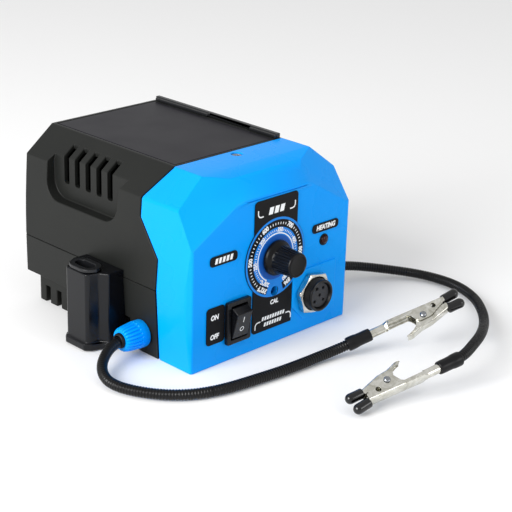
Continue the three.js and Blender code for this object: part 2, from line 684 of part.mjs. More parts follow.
// A key with two flat faces that meet in a crest near its upper end. That end is pressed in,
// against the "on" stop, and the long lower face leans out to the crest.
function rocker() {
  const [x, z] = SWITCH_AT;
  const [width, height] = ROCKER_SIZE;
  const half = height / 2;
  const [backEdge, backMiddle] = ROCKER_BACK;
  const outline = [
    [-ROCKER_CREST, ROCKER_CREST_UP], [-ROCKER_END, -half], [backEdge, -half + 0.9], [backMiddle, 0],
    [backEdge, half - 0.9], [-ROCKER_END, half],
  ];
  return prism('x', outline, x - width / 2, x + width / 2).translate([0, ROCKER_PIVOT_Y, z]);
}

addPart('rocker_housing', rockerHousing(), switchBlack);
addPart('rocker', rocker(), switchBlack);

// ---------------------------------------------------------------- iron socket, lamp, trimmer

const padFront = FRONT_Y - SOCKET_PAD_HEIGHT;
const socketNutFlats = 2 * (SOCKET_BARREL_RADIUS + GAP + SOCKET_NUT_WALL);
const socketCupRadius = SOCKET_BARREL_RADIUS - SOCKET_WALL;
const socketFront = FRONT_Y - SOCKET_PROUD;

function socketBarrel() {
  const flange = bar('y', SOCKET_AT, SOCKET_BARREL_RADIUS + 2, FRONT_Y + WALL + GAP, FRONT_Y + WALL + 3);
  const barrel = bar('y', SOCKET_AT, SOCKET_BARREL_RADIUS, socketFront, FRONT_Y + SOCKET_DEPTH, 24);
  const cup = bar('y', SOCKET_AT, socketCupRadius, socketFront - 1, FRONT_Y + SOCKET_DEPTH + 1, 20);
  return barrel.add(flange).subtract(cup);
}

function socketNut() {
  const nut = bar('y', [0, 0], socketNutFlats / Math.sqrt(3), padFront - GAP - SOCKET_NUT_HEIGHT,
    padFront - GAP, 6).rotate([0, SOCKET_NUT_TURN, 0]).translate([SOCKET_AT[0], 0, SOCKET_AT[1]]);
  return nut.subtract(bar('y', SOCKET_AT, SOCKET_BARREL_RADIUS + GAP, FRONT_Y - 10, FRONT_Y, 24));
}

function socketInsert() {
  const [x, z] = SOCKET_AT;
  const face = socketFront + SOCKET_CUP_DEPTH;
  let insert = bar('y', SOCKET_AT, socketCupRadius - GAP, face, FRONT_Y + SOCKET_DEPTH - 2, 20);
  for (const [dx, dz] of SOCKET_HOLES) {
    insert = insert.subtract(bar('y', [x + dx, z + dz], SOCKET_HOLE_RADIUS, face - 1, face + 6, 8));
  }
  return insert;
}

addPart('socket_barrel', socketBarrel(), knobBlack);
addPart('socket_nut', socketNut(), nickel);
addPart('socket_insert', socketInsert(), greyInsert);

function statusLamp() {
  const rim = bar('y', LED_AT, LED_RADIUS + 0.6, FRONT_Y + WALL + GAP, FRONT_Y + WALL + 1.3, 12);
  const stem = bar('y', LED_AT, LED_RADIUS, FRONT_Y - 0.4, FRONT_Y + WALL + 1, 12);
  const dome = new THREE.SphereGeometry(LED_RADIUS, 12, 6).scale(1, 0.5, 1);
  dome.translate(LED_AT[0], FRONT_Y - 0.4, LED_AT[1]);
  return rim.add(stem).add(solid(dome));
}

addPart('status_lamp', statusLamp(), lensRed);

const trimmerY = FRONT_Y + WALL + TRIMMER_SETBACK;

function trimmerBody() {
  const [x, z] = TRIM_AT;
  const body = box(x - TRIMMER_HALF, x + TRIMMER_HALF, trimmerY, trimmerY + TRIMMER_DEPTH,
    z - TRIMMER_HALF, z + TRIMMER_HALF);
  return body.subtract(bar('y', TRIM_AT, TRIMMER_SCREW_RADIUS + GAP, trimmerY - 1, trimmerY + 3, 16));
}

function trimmerScrew() {
  const [x, z] = TRIM_AT;
  const screw = bar('y', TRIM_AT, TRIMMER_SCREW_RADIUS, trimmerY - 0.8, trimmerY + 3 - GAP, 16);
  return screw.subtract(box(x - 2, x + 2, trimmerY - 2, trimmerY - 0.2, z - 0.25, z + 0.25));
}

addPart('trimmer_body', trimmerBody(), blueShell);
addPart('trimmer_screw', trimmerScrew(), brass);

// ---------------------------------------------------------------- electronics

function circuitBoard() {
  let board = box(-BOARD_HALF, BOARD_HALF, BOARD_FRONT_Y, BOARD_REAR_Y, BOARD_Z, BOARD_Z + BOARD_THICKNESS);
  for (const at of boardPosts) {
    board = board.subtract(bar('z', at, SCREW_SHANK_RADIUS + GAP, BOARD_Z - 1, BOARD_Z + 3, 12));
  }
  return board;
}

function heatSink() {
  const z0 = BOARD_Z + BOARD_THICKNESS + GAP;
  const fins = [];
  for (let i = 0; i < 6; i += 1) {
    fins.push(box(-24 + i * 5, -22.4 + i * 5, 52, 78, z0 + 2, z0 + 20));
  }
  return fins.reduce((body, fin) => body.add(fin), box(-24, 2.6, 52, 78, z0, z0 + 3));
}

function boardScrew(at) {
  const z0 = BOARD_Z + BOARD_THICKNESS + GAP;
  return bar('z', at, SCREW_HEAD_RADIUS, z0, z0 + SCREW_HEAD_HEIGHT, 16)
    .add(bar('z', at, SCREW_SHANK_RADIUS, z0 - 5, z0 + 0.5, 12));
}

addPart('circuit_board', circuitBoard(), boardGreen);
addPart('heat_sink', heatSink(), aluminium);
addPart('board_screw_front', boardScrew(boardPosts[0]), steel);
addPart('board_screw_rear', boardScrew(boardPosts[3]), steel);

// ---------------------------------------------------------------- battery shoe

function batteryShoe() {
  const top = BAY_Z - GAP;
  let shoe = prism('z', roundedRect(-SHOE_HALF, SHOE_FRONT_Y, SHOE_HALF, SHOE_REAR_Y, 3), 0, top, 3);
  const inner = SHOE_FRONT_Y + SHOE_END_WALL;
  shoe = shoe.subtract(box(-SHOE_CHANNEL_HALF, SHOE_CHANNEL_HALF, inner, SHOE_REAR_Y + 5,
    -1, SHOE_CHANNEL_HEIGHT));
  const groove = SHOE_CHANNEL_HALF + SHOE_GROOVE;
  shoe = shoe.subtract(box(-groove, groove, inner, SHOE_REAR_Y + 5, ...SHOE_GROOVE_Z));
  for (const y of SHOE_NOTCH_YS) {
    const notch = box(-SHOE_HALF - 2, -SHOE_CHANNEL_HALF - SHOE_GROOVE - 2, y - SHOE_NOTCH_WIDTH / 2,
      y + SHOE_NOTCH_WIDTH / 2, -1, SHOE_NOTCH_HEIGHT);
    shoe = shoe.subtract(notch).subtract(mirrored(notch));
  }
  for (const side of [-1, 1]) {
    shoe = shoe.subtract(box(side * TERMINAL_HALF_SPACING - 0.4 - GAP, side * TERMINAL_HALF_SPACING + 0.4 + GAP,
      inner - 3, inner + 1, 1.5 - GAP, 8 + GAP));
  }
  return shoe;
}

function terminal(side) {
  const x = side * TERMINAL_HALF_SPACING;
  const inner = SHOE_FRONT_Y + SHOE_END_WALL;
  return box(x - 0.4, x + 0.4, inner - 3 + GAP, inner + 12, 1.5, 8);
}

addPart('battery_shoe', batteryShoe(), blackCase);
addPart('battery_terminal_left', terminal(-1), brass);
addPart('battery_terminal_right', terminal(1), brass);

// ---------------------------------------------------------------- iron holder

function holderOutline(grow) {
  const y = HOLDER_AT[1];
  const inner = -CASE_BASE_HALF + 2;
  return [
    [inner, y - HOLDER_INNER_HALF - grow], [inner, y + HOLDER_INNER_HALF + grow],
    [HOLDER_INNER_X, y + HOLDER_INNER_HALF + grow],
    [HOLDER_MID_X, y + HOLDER_MID_HALF + grow], [HOLDER_OUTER_X + 1.3, y + HOLDER_OUTER_HALF + 1.3 + grow],
    [HOLDER_OUTER_X - grow, y + HOLDER_OUTER_HALF], [HOLDER_OUTER_X - grow, y - HOLDER_OUTER_HALF],
    [HOLDER_OUTER_X + 1.3, y - HOLDER_OUTER_HALF - 1.3 - grow], [HOLDER_MID_X, y - HOLDER_MID_HALF - grow],
    [HOLDER_INNER_X, y - HOLDER_INNER_HALF - grow],
  ];
}

function holderBody() {
  const body = prism('z', holderOutline(0), HOLDER_BOTTOM_Z - 1, HOLDER_TOP_Z)
    .add(prism('z', holderOutline(HOLDER_FLANGE), 0.5, HOLDER_BOTTOM_Z));
  const pocket = prism('z', centredRect(HOLDER_AT, HOLDER_POCKET, HOLDER_POCKET[0] / 2 - 0.01),
    HOLDER_TOP_Z - HOLDER_POCKET_DEPTH, HOLDER_TOP_Z + 1, 2);
  return body.subtract(pocket).subtract(caseForm(-GAP));
}

function holderCollar() {
  const size = HOLDER_POCKET;
  const lining = size.map((value) => value - 2 * GAP);
  const rim = size.map((value) => value + 2 * COLLAR_RIM);
  const hole = lining.map((value) => value - 2 * COLLAR_WALL);
  const z0 = HOLDER_TOP_Z + GAP;
  const ring = (outline, from, to) => prism('z', centredRect(HOLDER_AT, outline, outline[0] / 2 - 0.01), from, to, 2);
  return ring(rim, z0, z0 + COLLAR_HEIGHT).add(ring(lining, z0 - 8, z0 + 1))
    .subtract(ring(hole, z0 - 10, z0 + COLLAR_HEIGHT + 1));
}

addPart('holder_body', holderBody(), blackCase);
addPart('holder_collar', holderCollar(), knobBlack);

// ---------------------------------------------------------------- arm glands and nuts

const wallX = CASE_BASE_HALF + (CASE_SEAM_HALF - CASE_BASE_HALF) * (GLAND_Z / SEAM_Z);
const glandEndX = wallX + GLAND_LENGTH;
const nutEndX = wallX + 0.6 + NUT_LENGTH;

const nutBaseRadius = GLAND_RADIUS + GAP + NUT_BASE_WALL;
const nutEndRadius = NECK_RADIUS + 2 * GAP + NUT_END_WALL;

function gland(side) {
  const at = [GLAND_Y, GLAND_Z];
  const stub = bar('x', at, GLAND_RADIUS, wallX - 6, glandEndX);
  const flange = bar('x', at, GLAND_RADIUS + GLAND_FLANGE, wallX - WALL - 4.2, wallX - WALL - GAP - 0.8);
  const body = stub.add(flange).subtract(bar('x', at, NECK_RADIUS + GAP, 0, 90, 12));
  return side > 0 ? body : mirrored(body);
}

function glandNut(side) {
  const at = [GLAND_Y, GLAND_Z];
  const x0 = wallX + 0.6;
  let nut = bar('x', at, nutBaseRadius, x0, x0 + 4, 24)
    .add(bar('x', at, nutBaseRadius, x0 + 4, nutEndX, 24, nutEndRadius));
  for (let i = 0; i < NUT_RIBS; i += 1) {
    const angle = (i / NUT_RIBS) * 2 * Math.PI;
    const reach = nutBaseRadius + 0.2;
    const rib = bar('x', [GLAND_Y + reach * Math.cos(angle), GLAND_Z + reach * Math.sin(angle)],
      NUT_RIB_DEPTH + 0.2, x0 + 3, nutEndX + 1, 4);
    nut = nut.subtract(rib);
  }
  nut = nut.subtract(bar('x', at, GLAND_RADIUS + GAP, x0 - 1, glandEndX + GAP))
    .subtract(bar('x', at, NECK_RADIUS + 2 * GAP, x0, 90, 12));
  return side > 0 ? nut : mirrored(nut);
}

// ---------------------------------------------------------------- necks

// Each neck leaves its gland sideways, curls forward and lies in front of the station.
const NECK_ROUTES = {
  left: {
    side: -1,
    points: [
      [-50, GLAND_Y, GLAND_Z], [-60, GLAND_Y, GLAND_Z], [-67.5, GLAND_Y, GLAND_Z], [-77, 16.6, 6.8],
      [-84, 9.5, 3.9], [-86.8, -0.5, 2.9], [-83.7, -11.6, 2.85], [-77.2, -22.4, 2.85], [-67.1, -31.2, 2.85],
      [-54.6, -36.2, 2.85], [-37.6, -39, 2.85], [-19.1, -41.2, 2.85], [-3, -42.2, 3.1], [8.5, -43.6, 3.9],
    ],
    clipAt: [30.4, -53.7, 11.8],
    clipAlong: [0.823, -0.444, 0.353],
    clipAcross: [-0.306, -0.86, -0.408],
  },
  right: {
    side: 1,
    points: [
      [50, GLAND_Y, GLAND_Z], [60, GLAND_Y, GLAND_Z], [68, GLAND_Y, GLAND_Z], [86, 15.6, 8], [105.6, 2, 4.6],
      [116, -12, 3.1], [118, -30, 2.95], [112, -46, 3.2], [98.5, -61.5, 5],
      [81, -76, 8], [62.1, -87.8, 11.5], [45, -96, 14.4],
    ],
    clipAt: [12.7, -97, 11.4],
    clipAlong: [-0.955, 0.23, -0.19],
    clipAcross: [0.114, 0.913, 0.391],
  },
};

const vector = (values) => new THREE.Vector3(...values);

function clipFrame(route) {
  const along = vector(route.clipAlong).normalize();
  const pin = new THREE.Vector3().crossVectors(along, vector(route.clipAcross)).normalize();
  const across = new THREE.Vector3().crossVectors(pin, along);
  return new THREE.Matrix4().makeBasis(along, across, pin).setPosition(vector(route.clipAt));
}

// The neck's centre line ends straight, along the clip's tail.
function neckCurve(route) {
  const tail = vector(route.clipAt);
  const along = vector(route.clipAlong).normalize();
  const ends = [SLEEVE_REACH + 6, SLEEVE_REACH + 1, CLIP_TAIL_BACK + GAP]
    .map((back) => tail.clone().addScaledVector(along, -back));
  return new THREE.CatmullRomCurve3([...route.points.map(vector), ...ends], false, 'centripetal');
}

function ball(at, radius) {
  return solid(new THREE.SphereGeometry(radius, 10, 6).translate(at.x, at.y, at.z));
}

function tube(curve, from, to, radius) {
  const points = [];
  const steps = Math.max(3, Math.round((curve.getLength() * (to - from)) / 7.5));
  for (let i = 0; i <= steps; i += 1) points.push(curve.getPointAt(from + ((to - from) * i) / steps));
  const path = new THREE.CatmullRomCurve3(points, false, 'centripetal');
  const ring = new THREE.Shape().absarc(0, 0, radius, 0, 2 * Math.PI);
  return solid(new THREE.ExtrudeGeometry(ring, {
    steps, curveSegments: NECK_SIDES / 2, bevelEnabled: false, extrudePath: path,
  }));
}

// Links share out the free neck between the nut and the sleeve. A link ends in a ball that
// sits in the hollow end of the next one.
function neckJoints(route, curve) {
  const length = curve.getLength();
  const first = (nutEndX + 8 - 50) / length;
  const last = 1 - (SLEEVE_OVER_NECK + 4) / length;
  return Array.from({ length: NECK_LINKS - 1 },
    (_, i) => first + ((last - first) * i) / (NECK_LINKS - 2));
}

function addArm(name, route) {
  const group = new THREE.Group();
  station.add(group);
  addPart(`${name}_gland`, gland(route.side), blackCase, group);
  addPart(`${name}_gland_nut`, glandNut(route.side), blueShell, group);
  const curve = neckCurve(route);
  const joints = neckJoints(route, curve);
  const bounds = [0, ...joints, 1];
  for (let i = 0; i < NECK_LINKS; i += 1) {
    let link = tube(curve, bounds[i], bounds[i + 1], NECK_RADIUS);
    if (i < NECK_LINKS - 1) link = link.add(ball(curve.getPointAt(bounds[i + 1]), NECK_BALL_RADIUS));
    if (i > 0) link = link.subtract(ball(curve.getPointAt(bounds[i]), NECK_BALL_RADIUS + GAP));
    addPart(`${name}_neck_${i + 1}`, link, neckBlack, group);
  }
  addPart(`${name}_sleeve`, sleeve(route), vinyl, group);
  addClip(name, clipFrame(route), group);
}

// Shrunk over the end of the neck and the tail of the clip.
function sleeve(route) {
  const tail = vector(route.clipAt);
  const along = vector(route.clipAlong).normalize();
  const end = tail.clone().addScaledVector(along, -CLIP_TAIL_BARE);
  const start = tail.clone().addScaledVector(along, -SLEEVE_REACH);
  const path = new THREE.LineCurve3(start, end);
  const boreRadius = Math.max(CLIP_TAIL_RADIUS, NECK_RADIUS) + GAP;
  const ring = new THREE.Shape().absarc(0, 0, boreRadius + SLEEVE_WALL, 0, 2 * Math.PI);
  const outer = solid(new THREE.ExtrudeGeometry(ring, {
    steps: 1, curveSegments: 6, bevelEnabled: false, extrudePath: path,
  }));
  const bore = bar('x', [0, 0], boreRadius, -SLEEVE_REACH - 2, 2, 12);
  return outer.subtract(bore.transform(clipFrame(route).elements));
}

// ---------------------------------------------------------------- clips

function fixedJaw() {
  const back = CLIP_BACK_Y;
  const [px, py] = CLIP_PIVOT;
  const cheek = [
    [1.5, back], [CLIP_JAW_END_X, back + 0.8], [CLIP_JAW_END_X, 1.6], [px + 4, py + 1.9],
    [px + 2.4, py + 2.3], [px - 2.4, py + 2.3], [px - 3.6, py + 1.6], [px - 5.4, CLIP_RAIL_Y + 1],
    [px - 6.6, CLIP_RAIL_Y], [1.5, CLIP_RAIL_Y],
  ];
  const space = [
    [3, back + CLIP_SHEET], [CLIP_JAW_END_X + 1, back + 0.8 + CLIP_SHEET], [CLIP_JAW_END_X + 1, 20],
    [3, 20],
  ];
  const inside = CLIP_FIXED_HALF - CLIP_SHEET;
  const channel = prism('z', cheek, -CLIP_FIXED_HALF, CLIP_FIXED_HALF)
    .subtract(prism('z', space, -inside, inside));
  const tail = bar('x', [0, 0], CLIP_TAIL_RADIUS, -CLIP_TAIL_BACK, 3.5, 14);
  const tailHollow = bar('x', [0, 0], CLIP_TAIL_RADIUS - CLIP_TAIL_WALL, -CLIP_TAIL_BACK - 2, 2.5, 14);
  const tongueY = back + 0.8;
  const tongue = box(CLIP_JAW_END_X - 3, CLIP_TONGUE_END_X, tongueY, tongueY + CLIP_TONGUE[0],
    -CLIP_TONGUE[1] / 2, CLIP_TONGUE[1] / 2);
  return channel.add(tail).add(tongue).subtract(tailHollow)
    .subtract(bar('z', CLIP_PIVOT, CLIP_PIN_RADIUS + GAP, -6, 6, 10))
    .subtract(bar('z', CLIP_WINDOW, CLIP_WINDOW_RADIUS, -6, 6, 8));
}

function movingJaw() {
  const [px, py] = CLIP_PIVOT;
  const outer = [
    [CLIP_JAW_END_X, 5.6], [px + 2, 8.7], [px - 3.5, 9.3], [px - 9.6, 11.2], [px - 11.6, 10.9],
    [px - 11.6, 10.3], [px - 9.6, 10.6], [px - 5.6, 8.9], [px - 3, py - 1.6], [px, py - 2.6],
    [px + 3, py - 1.6], [CLIP_JAW_END_X, 2.6],
  ].reverse();
  const space = [
    [CLIP_JAW_END_X + 1, 5.05], [px + 2, 8.15], [px - 3.5, 8.75], [px - 9.6, 10.65], [px - 12.6, 10.4],
    [px - 12.6, -5], [CLIP_JAW_END_X + 1, -5],
  ].reverse();
  const inside = CLIP_MOVING_HALF - CLIP_SHEET;
  const channel = prism('z', outer, -CLIP_MOVING_HALF, CLIP_MOVING_HALF)
    .subtract(prism('z', space, -inside, inside));
  const tongueY = 5.5;
  const tongue = box(CLIP_JAW_END_X - 2, CLIP_TONGUE_END_X, tongueY - CLIP_TONGUE[0], tongueY,
    -CLIP_TONGUE[1] / 2, CLIP_TONGUE[1] / 2);
  return channel.add(tongue)
    .subtract(bar('z', CLIP_PIVOT, CLIP_PIN_RADIUS + GAP, -6, 6, 10));
}

function clipPin() {
  const half = CLIP_FIXED_HALF + GAP;
  return bar('z', CLIP_PIVOT, CLIP_PIN_RADIUS, -half - 0.5, half + 0.5, 10)
    .add(bar('z', CLIP_PIVOT, CLIP_PIN_HEAD_RADIUS, half, half + 0.7, 10))
    .add(bar('z', CLIP_PIVOT, CLIP_PIN_HEAD_RADIUS, -half - 0.7, -half, 10));
}

// The coil of the torsion spring between the moving cheeks.
function clipSpring() {
  return bar('z', CLIP_PIVOT, 1.9, -1.2, 1.2, 12)
    .subtract(bar('z', CLIP_PIVOT, CLIP_PIN_RADIUS + GAP, -2, 2, 10));
}

// A dipped vinyl cover: a bar with a round end, around the tongue at y0..y1.
function clipTip(centreY, splay, y0, y1) {
  const length = TIP_END_X - TIP_START_X - TIP_RADIUS;
  const cover = solid(new THREE.CylinderGeometry(TIP_RADIUS, TIP_RADIUS, length, 12)
    .translate(0, length / 2, 0))
    .add(solid(new THREE.SphereGeometry(TIP_RADIUS, 12, 6).translate(0, length, 0)));
  const turned = cover.rotate([0, 0, -90 + splay]).translate([CLIP_JAW_END_X + GAP, centreY, 0]);
  const room = GAP;
  return turned.subtract(box(TIP_START_X - 3, CLIP_TONGUE_END_X + room, y0 - room, y1 + room,
    -CLIP_TONGUE[1] / 2 - room, CLIP_TONGUE[1] / 2 + room));
}

function addClip(name, frame, parent) {
  const group = new THREE.Group();
  group.applyMatrix4(frame);
  parent.add(group);
  const fixedTongue = CLIP_BACK_Y + 0.8;
  addPart(`${name}_fixed_jaw`, fixedJaw(), nickel, group);
  addPart(`${name}_moving_jaw`, movingJaw(), nickel, group);
  addPart(`${name}_clip_pin`, clipPin(), steel, group);
  addPart(`${name}_clip_spring`, clipSpring(), steel, group);
  addPart(`${name}_fixed_tip`, clipTip(-0.5, -TIP_SPLAY * 5, fixedTongue, fixedTongue + CLIP_TONGUE[0]),
    vinyl, group);
  addPart(`${name}_moving_tip`, clipTip(4.9, 0, 5.5 - CLIP_TONGUE[0], 5.5), vinyl, group);
}

addArm('left', NECK_ROUTES.left);
addArm('right', NECK_ROUTES.right);

export default station;
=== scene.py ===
import math

import bmesh
import bpy
from mathutils import Matrix, Vector


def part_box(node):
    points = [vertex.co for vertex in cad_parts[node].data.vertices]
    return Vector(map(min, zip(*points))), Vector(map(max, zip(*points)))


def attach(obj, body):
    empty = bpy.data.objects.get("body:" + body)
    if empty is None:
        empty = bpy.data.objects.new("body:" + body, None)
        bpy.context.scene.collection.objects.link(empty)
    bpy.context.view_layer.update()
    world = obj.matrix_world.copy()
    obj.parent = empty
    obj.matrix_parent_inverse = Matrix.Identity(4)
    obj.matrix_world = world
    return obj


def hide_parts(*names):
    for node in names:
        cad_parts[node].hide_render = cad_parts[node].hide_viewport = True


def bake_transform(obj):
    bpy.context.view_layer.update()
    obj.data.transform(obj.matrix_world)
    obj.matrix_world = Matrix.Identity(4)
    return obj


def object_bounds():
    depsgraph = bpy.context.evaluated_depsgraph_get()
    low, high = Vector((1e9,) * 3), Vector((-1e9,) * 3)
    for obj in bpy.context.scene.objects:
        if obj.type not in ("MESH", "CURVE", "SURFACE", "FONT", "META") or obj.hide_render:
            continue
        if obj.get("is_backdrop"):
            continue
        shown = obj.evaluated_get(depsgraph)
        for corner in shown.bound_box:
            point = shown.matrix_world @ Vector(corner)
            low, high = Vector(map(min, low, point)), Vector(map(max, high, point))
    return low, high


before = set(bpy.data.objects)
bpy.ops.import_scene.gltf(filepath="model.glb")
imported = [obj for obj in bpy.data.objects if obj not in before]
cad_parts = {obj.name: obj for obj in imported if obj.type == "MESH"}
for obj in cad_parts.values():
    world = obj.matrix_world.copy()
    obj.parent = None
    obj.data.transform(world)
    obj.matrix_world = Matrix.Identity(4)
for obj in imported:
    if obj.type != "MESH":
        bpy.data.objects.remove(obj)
cad_low, cad_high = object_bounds()

# ---------------------------------------------------------------- camera
# A long lens looks down on the front left corner of the station from a little over half a
# metre away, rolled by less than two degrees.

MM = 0.001
VIEW_TARGET = Vector((0.00144, 0.0, 0.040))
VIEW_AZIMUTH = math.radians(-45.57)
VIEW_ELEVATION = math.radians(21.56)
VIEW_ROLL = math.radians(1.75)
VIEW_DISTANCE = 0.679
LENS_LENGTH = 102.1

view_back = Vector((
    math.sin(VIEW_AZIMUTH) * math.cos(VIEW_ELEVATION),
    -math.cos(VIEW_AZIMUTH) * math.cos(VIEW_ELEVATION),
    math.sin(VIEW_ELEVATION),
))
level_right = Vector((0, 0, 1)).cross(view_back).normalized()
level_up = view_back.cross(level_right)
view_right = level_right * math.cos(VIEW_ROLL) + level_up * math.sin(VIEW_ROLL)
view_up = view_back.cross(view_right)

lens = bpy.data.cameras.new("studio_camera")
lens.lens = LENS_LENGTH
lens.sensor_width = 36
lens.clip_start = 0.01
camera = bpy.data.objects.new("studio_camera", lens)
bpy.context.scene.collection.objects.link(camera)
camera.matrix_world = Matrix.Translation(VIEW_TARGET + view_back * VIEW_DISTANCE) @ Matrix(
    (view_right, view_up, view_back)).transposed().to_4x4()
bpy.context.scene.camera = camera

# ---------------------------------------------------------------- floor and studio light
# A sheet of matt white card under the station. A large soft box on the left lights the side,
# a weaker one in front fills the panel, and the white room does the rest.


def linear(hex_colour):
    """The linear colour of an sRGB hex value, with full opacity."""
    parts = [int(hex_colour[i:i + 2], 16) / 255 for i in (1, 3, 5)]
    return (*[c / 12.92 if c <= 0.04045 else ((c + 0.055) / 1.055) ** 2.4 for c in parts], 1)


def add(tree, kind, inputs=None, **settings):
    """Adds a node. inputs maps a socket's name or number to a value or to the output that feeds it."""
    node = tree.nodes.new(kind)
    for name, value in settings.items():
        setattr(node, name, value)
    for key, value in (inputs or {}).items():
        socket = node.inputs[key]
        if isinstance(value, bpy.types.NodeSocket):
            tree.links.new(value, socket)
        else:
            socket.default_value = value
    return node


def new_finish(name, colour, roughness, **sockets):
    """A material with its shader's constants set; returns it, its tree and its shader."""
    material = bpy.data.materials.new(name)
    material.use_nodes = True
    tree = material.node_tree
    shader = tree.nodes["Principled BSDF"]
    shader.inputs["Base Color"].default_value = linear(colour)
    shader.inputs["Roughness"].default_value = roughness
    for key, value in sockets.items():
        shader.inputs[key.replace("_", " ")].default_value = value
    return material, tree, shader


def placed(name, data):
    """A new object in the scene."""
    made = bpy.data.objects.new(name, data)
    bpy.context.scene.collection.objects.link(made)
    return made


def mesh_object(name, mesh, material):
    """A mesh in the scene with one material on it."""
    mesh.materials.clear()
    mesh.materials.append(material)
    return placed(name, mesh)


def noise(tree, size, detail, **settings):
    """Clouds fixed to the object, whose size is in millimetres."""
    place = add(tree, "ShaderNodeTexCoord").outputs["Object"]
    return add(tree, "ShaderNodeTexNoise", {
        "Vector": place, "Scale": 1 / (size * MM), "Detail": detail, **settings}).outputs["Fac"]


def raised(tree, shader, height, strength, relief):
    """Raises a shader's surface by height, whose full relief is in millimetres."""
    bump = add(tree, "ShaderNodeBump", {"Height": height, "Strength": strength, "Distance": relief * MM})
    tree.links.new(bump.outputs["Normal"], shader.inputs["Normal"])


CARD_FIBRE = 1 / 0.9
card, card_tree, card_shader = new_finish("matt_white_card", "#F4F4F4", 0.9)
raised(card_tree, card_shader, noise(card_tree, CARD_FIBRE, 3.0), 0.1, 0.1)
FLOOR_REACH = 2.5
FLOOR_GAP = 0.05
floor_mesh = bpy.data.meshes.new("floor")
floor_z = cad_low.z - FLOOR_GAP * MM
floor_mesh.from_pydata([
    (-FLOOR_REACH, -FLOOR_REACH, floor_z), (FLOOR_REACH, -FLOOR_REACH, floor_z),
    (FLOOR_REACH, FLOOR_REACH, floor_z), (-FLOOR_REACH, FLOOR_REACH, floor_z)], [], [(0, 1, 2, 3)])
mesh_object("floor", floor_mesh, card)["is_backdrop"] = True

ROOM_STRENGTH = 0.72
world = bpy.data.worlds.new("white_room")
world.use_nodes = True
room = world.node_tree.nodes["Background"].inputs
room["Color"].default_value = (1, 1, 1, 1)
room["Strength"].default_value = ROOM_STRENGTH
bpy.context.scene.world = world
bpy.context.scene.view_settings.view_transform = "Standard"


def soft_box(name, at, aim, size, watts):
    """A square area light at one point, facing another."""
    lamp = bpy.data.lights.new(name, "AREA")
    lamp.size = size
    lamp.energy = watts
    made = placed(name, lamp)
    facing = (Vector(aim) - Vector(at)).to_track_quat("-Z", "Y")
    made.matrix_world = Matrix.Translation(at) @ facing.to_matrix().to_4x4()


soft_box("soft_box_left", (-1.1, 0.0, 0.55), (0, 0.03, 0.04), 0.7, 18)
soft_box("soft_box_front", (0.35, -1.2, 0.5), (0, 0, 0.04), 0.5, 3)

# ---------------------------------------------------------------- front shell
# One injection moulding in azure ABS, about two millimetres thick. It rolls over at the top
# into a visor, and one machine screw holds it there to the housing.


CLOUD_SIZE = 22
SMOOTHER = 0.05
ROUGHER = 0.07


def two_shades(tree, shader, share, first, second):
    """Colours a shader from one shade to another as share goes from 0 to 1."""
    shade = add(tree, "ShaderNodeMix", {
        "Factor": share, 6: linear(first), 7: linear(second)}, data_type="RGBA")
    tree.links.new(shade.outputs[2], shader.inputs["Base Color"])


def rough_range(tree, shader, share, low, high):
    """Roughens a shader from low to high as share goes from 0 to 1."""
    worn = add(tree, "ShaderNodeMapRange", {"Value": share, "To Min": low, "To Max": high})
    tree.links.new(worn.outputs[0], shader.inputs["Roughness"])


def moulded(name, colour, second, roughness, grain, relief, gloss=0.5):
    """Moulded plastic: two close shades in soft clouds, and a grain with a size and a relief."""
    material, tree, shader = new_finish(name, colour, roughness, Specular_IOR_Level=gloss)
    clouds = noise(tree, CLOUD_SIZE, 2.0)
    two_shades(tree, shader, clouds, colour, second)
    rough_range(tree, shader, clouds, roughness - SMOOTHER, roughness + ROUGHER)
    raised(tree, shader, noise(tree, grain, 3.0), 0.6, relief)
    return material


def fit(piece, slot, body, *nodes):
    """Hides the CAD nodes that a piece stands for and sets the body that it rides on; the finish's slot is
    not used.
    """
    if nodes:
        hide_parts(*nodes)
    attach(piece, body)
    return piece


WELD = 0.002
FLAT_ANGLE = 0.6
ROUNDED_ANGLE = 28
EDGE_SHARE = 0.42


def softened(node, name, material, radius, slot, body="station", segments=3):
    """A copy of a CAD node with its triangles joined into flat faces and its edges rounded."""
    mesh = bpy.data.meshes.new(name)
    form = bmesh.new()
    form.from_mesh(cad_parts[node].data)
    bmesh.ops.remove_doubles(form, verts=form.verts, dist=WELD * MM)
    bmesh.ops.dissolve_limit(form, angle_limit=math.radians(FLAT_ANGLE), verts=form.verts, edges=form.edges)
    share = form.edges.layers.float.new("bevel_weight_edge")
    for edge in form.edges:
        if len(edge.link_faces) == 2 and edge.calc_face_angle() > math.radians(ROUNDED_ANGLE):
            shortest = min(other.calc_length() for end in edge.verts for other in end.link_edges)
            edge[share] = min(1, EDGE_SHARE * shortest / (radius * MM))
    for face in form.faces:
        face.smooth = True
    form.to_mesh(mesh)
    form.free()
    made = mesh_object(name, mesh, material)
    bevel = made.modifiers.new("moulded_edges", "BEVEL")
    bevel.width = radius * MM
    bevel.segments = segments
    bevel.limit_method = "WEIGHT"
    bevel.use_clamp_overlap = False
    made.modifiers.new("flat_faces_stay_flat", "WEIGHTED_NORMAL").keep_sharp = True
    return fit(made, slot, body, node)


# Gloss-polished ABS: a clean saturated blue with a faint orange-peel in its reflections.
azure_abs = moulded("azure_gloss_abs", "#0093F0", "#0299F4", 0.27, 1.6, 0.01, gloss=0.1)

softened("front_shell", "azure_front_shell", azure_abs, 1.3, "blue_shell", segments=4)


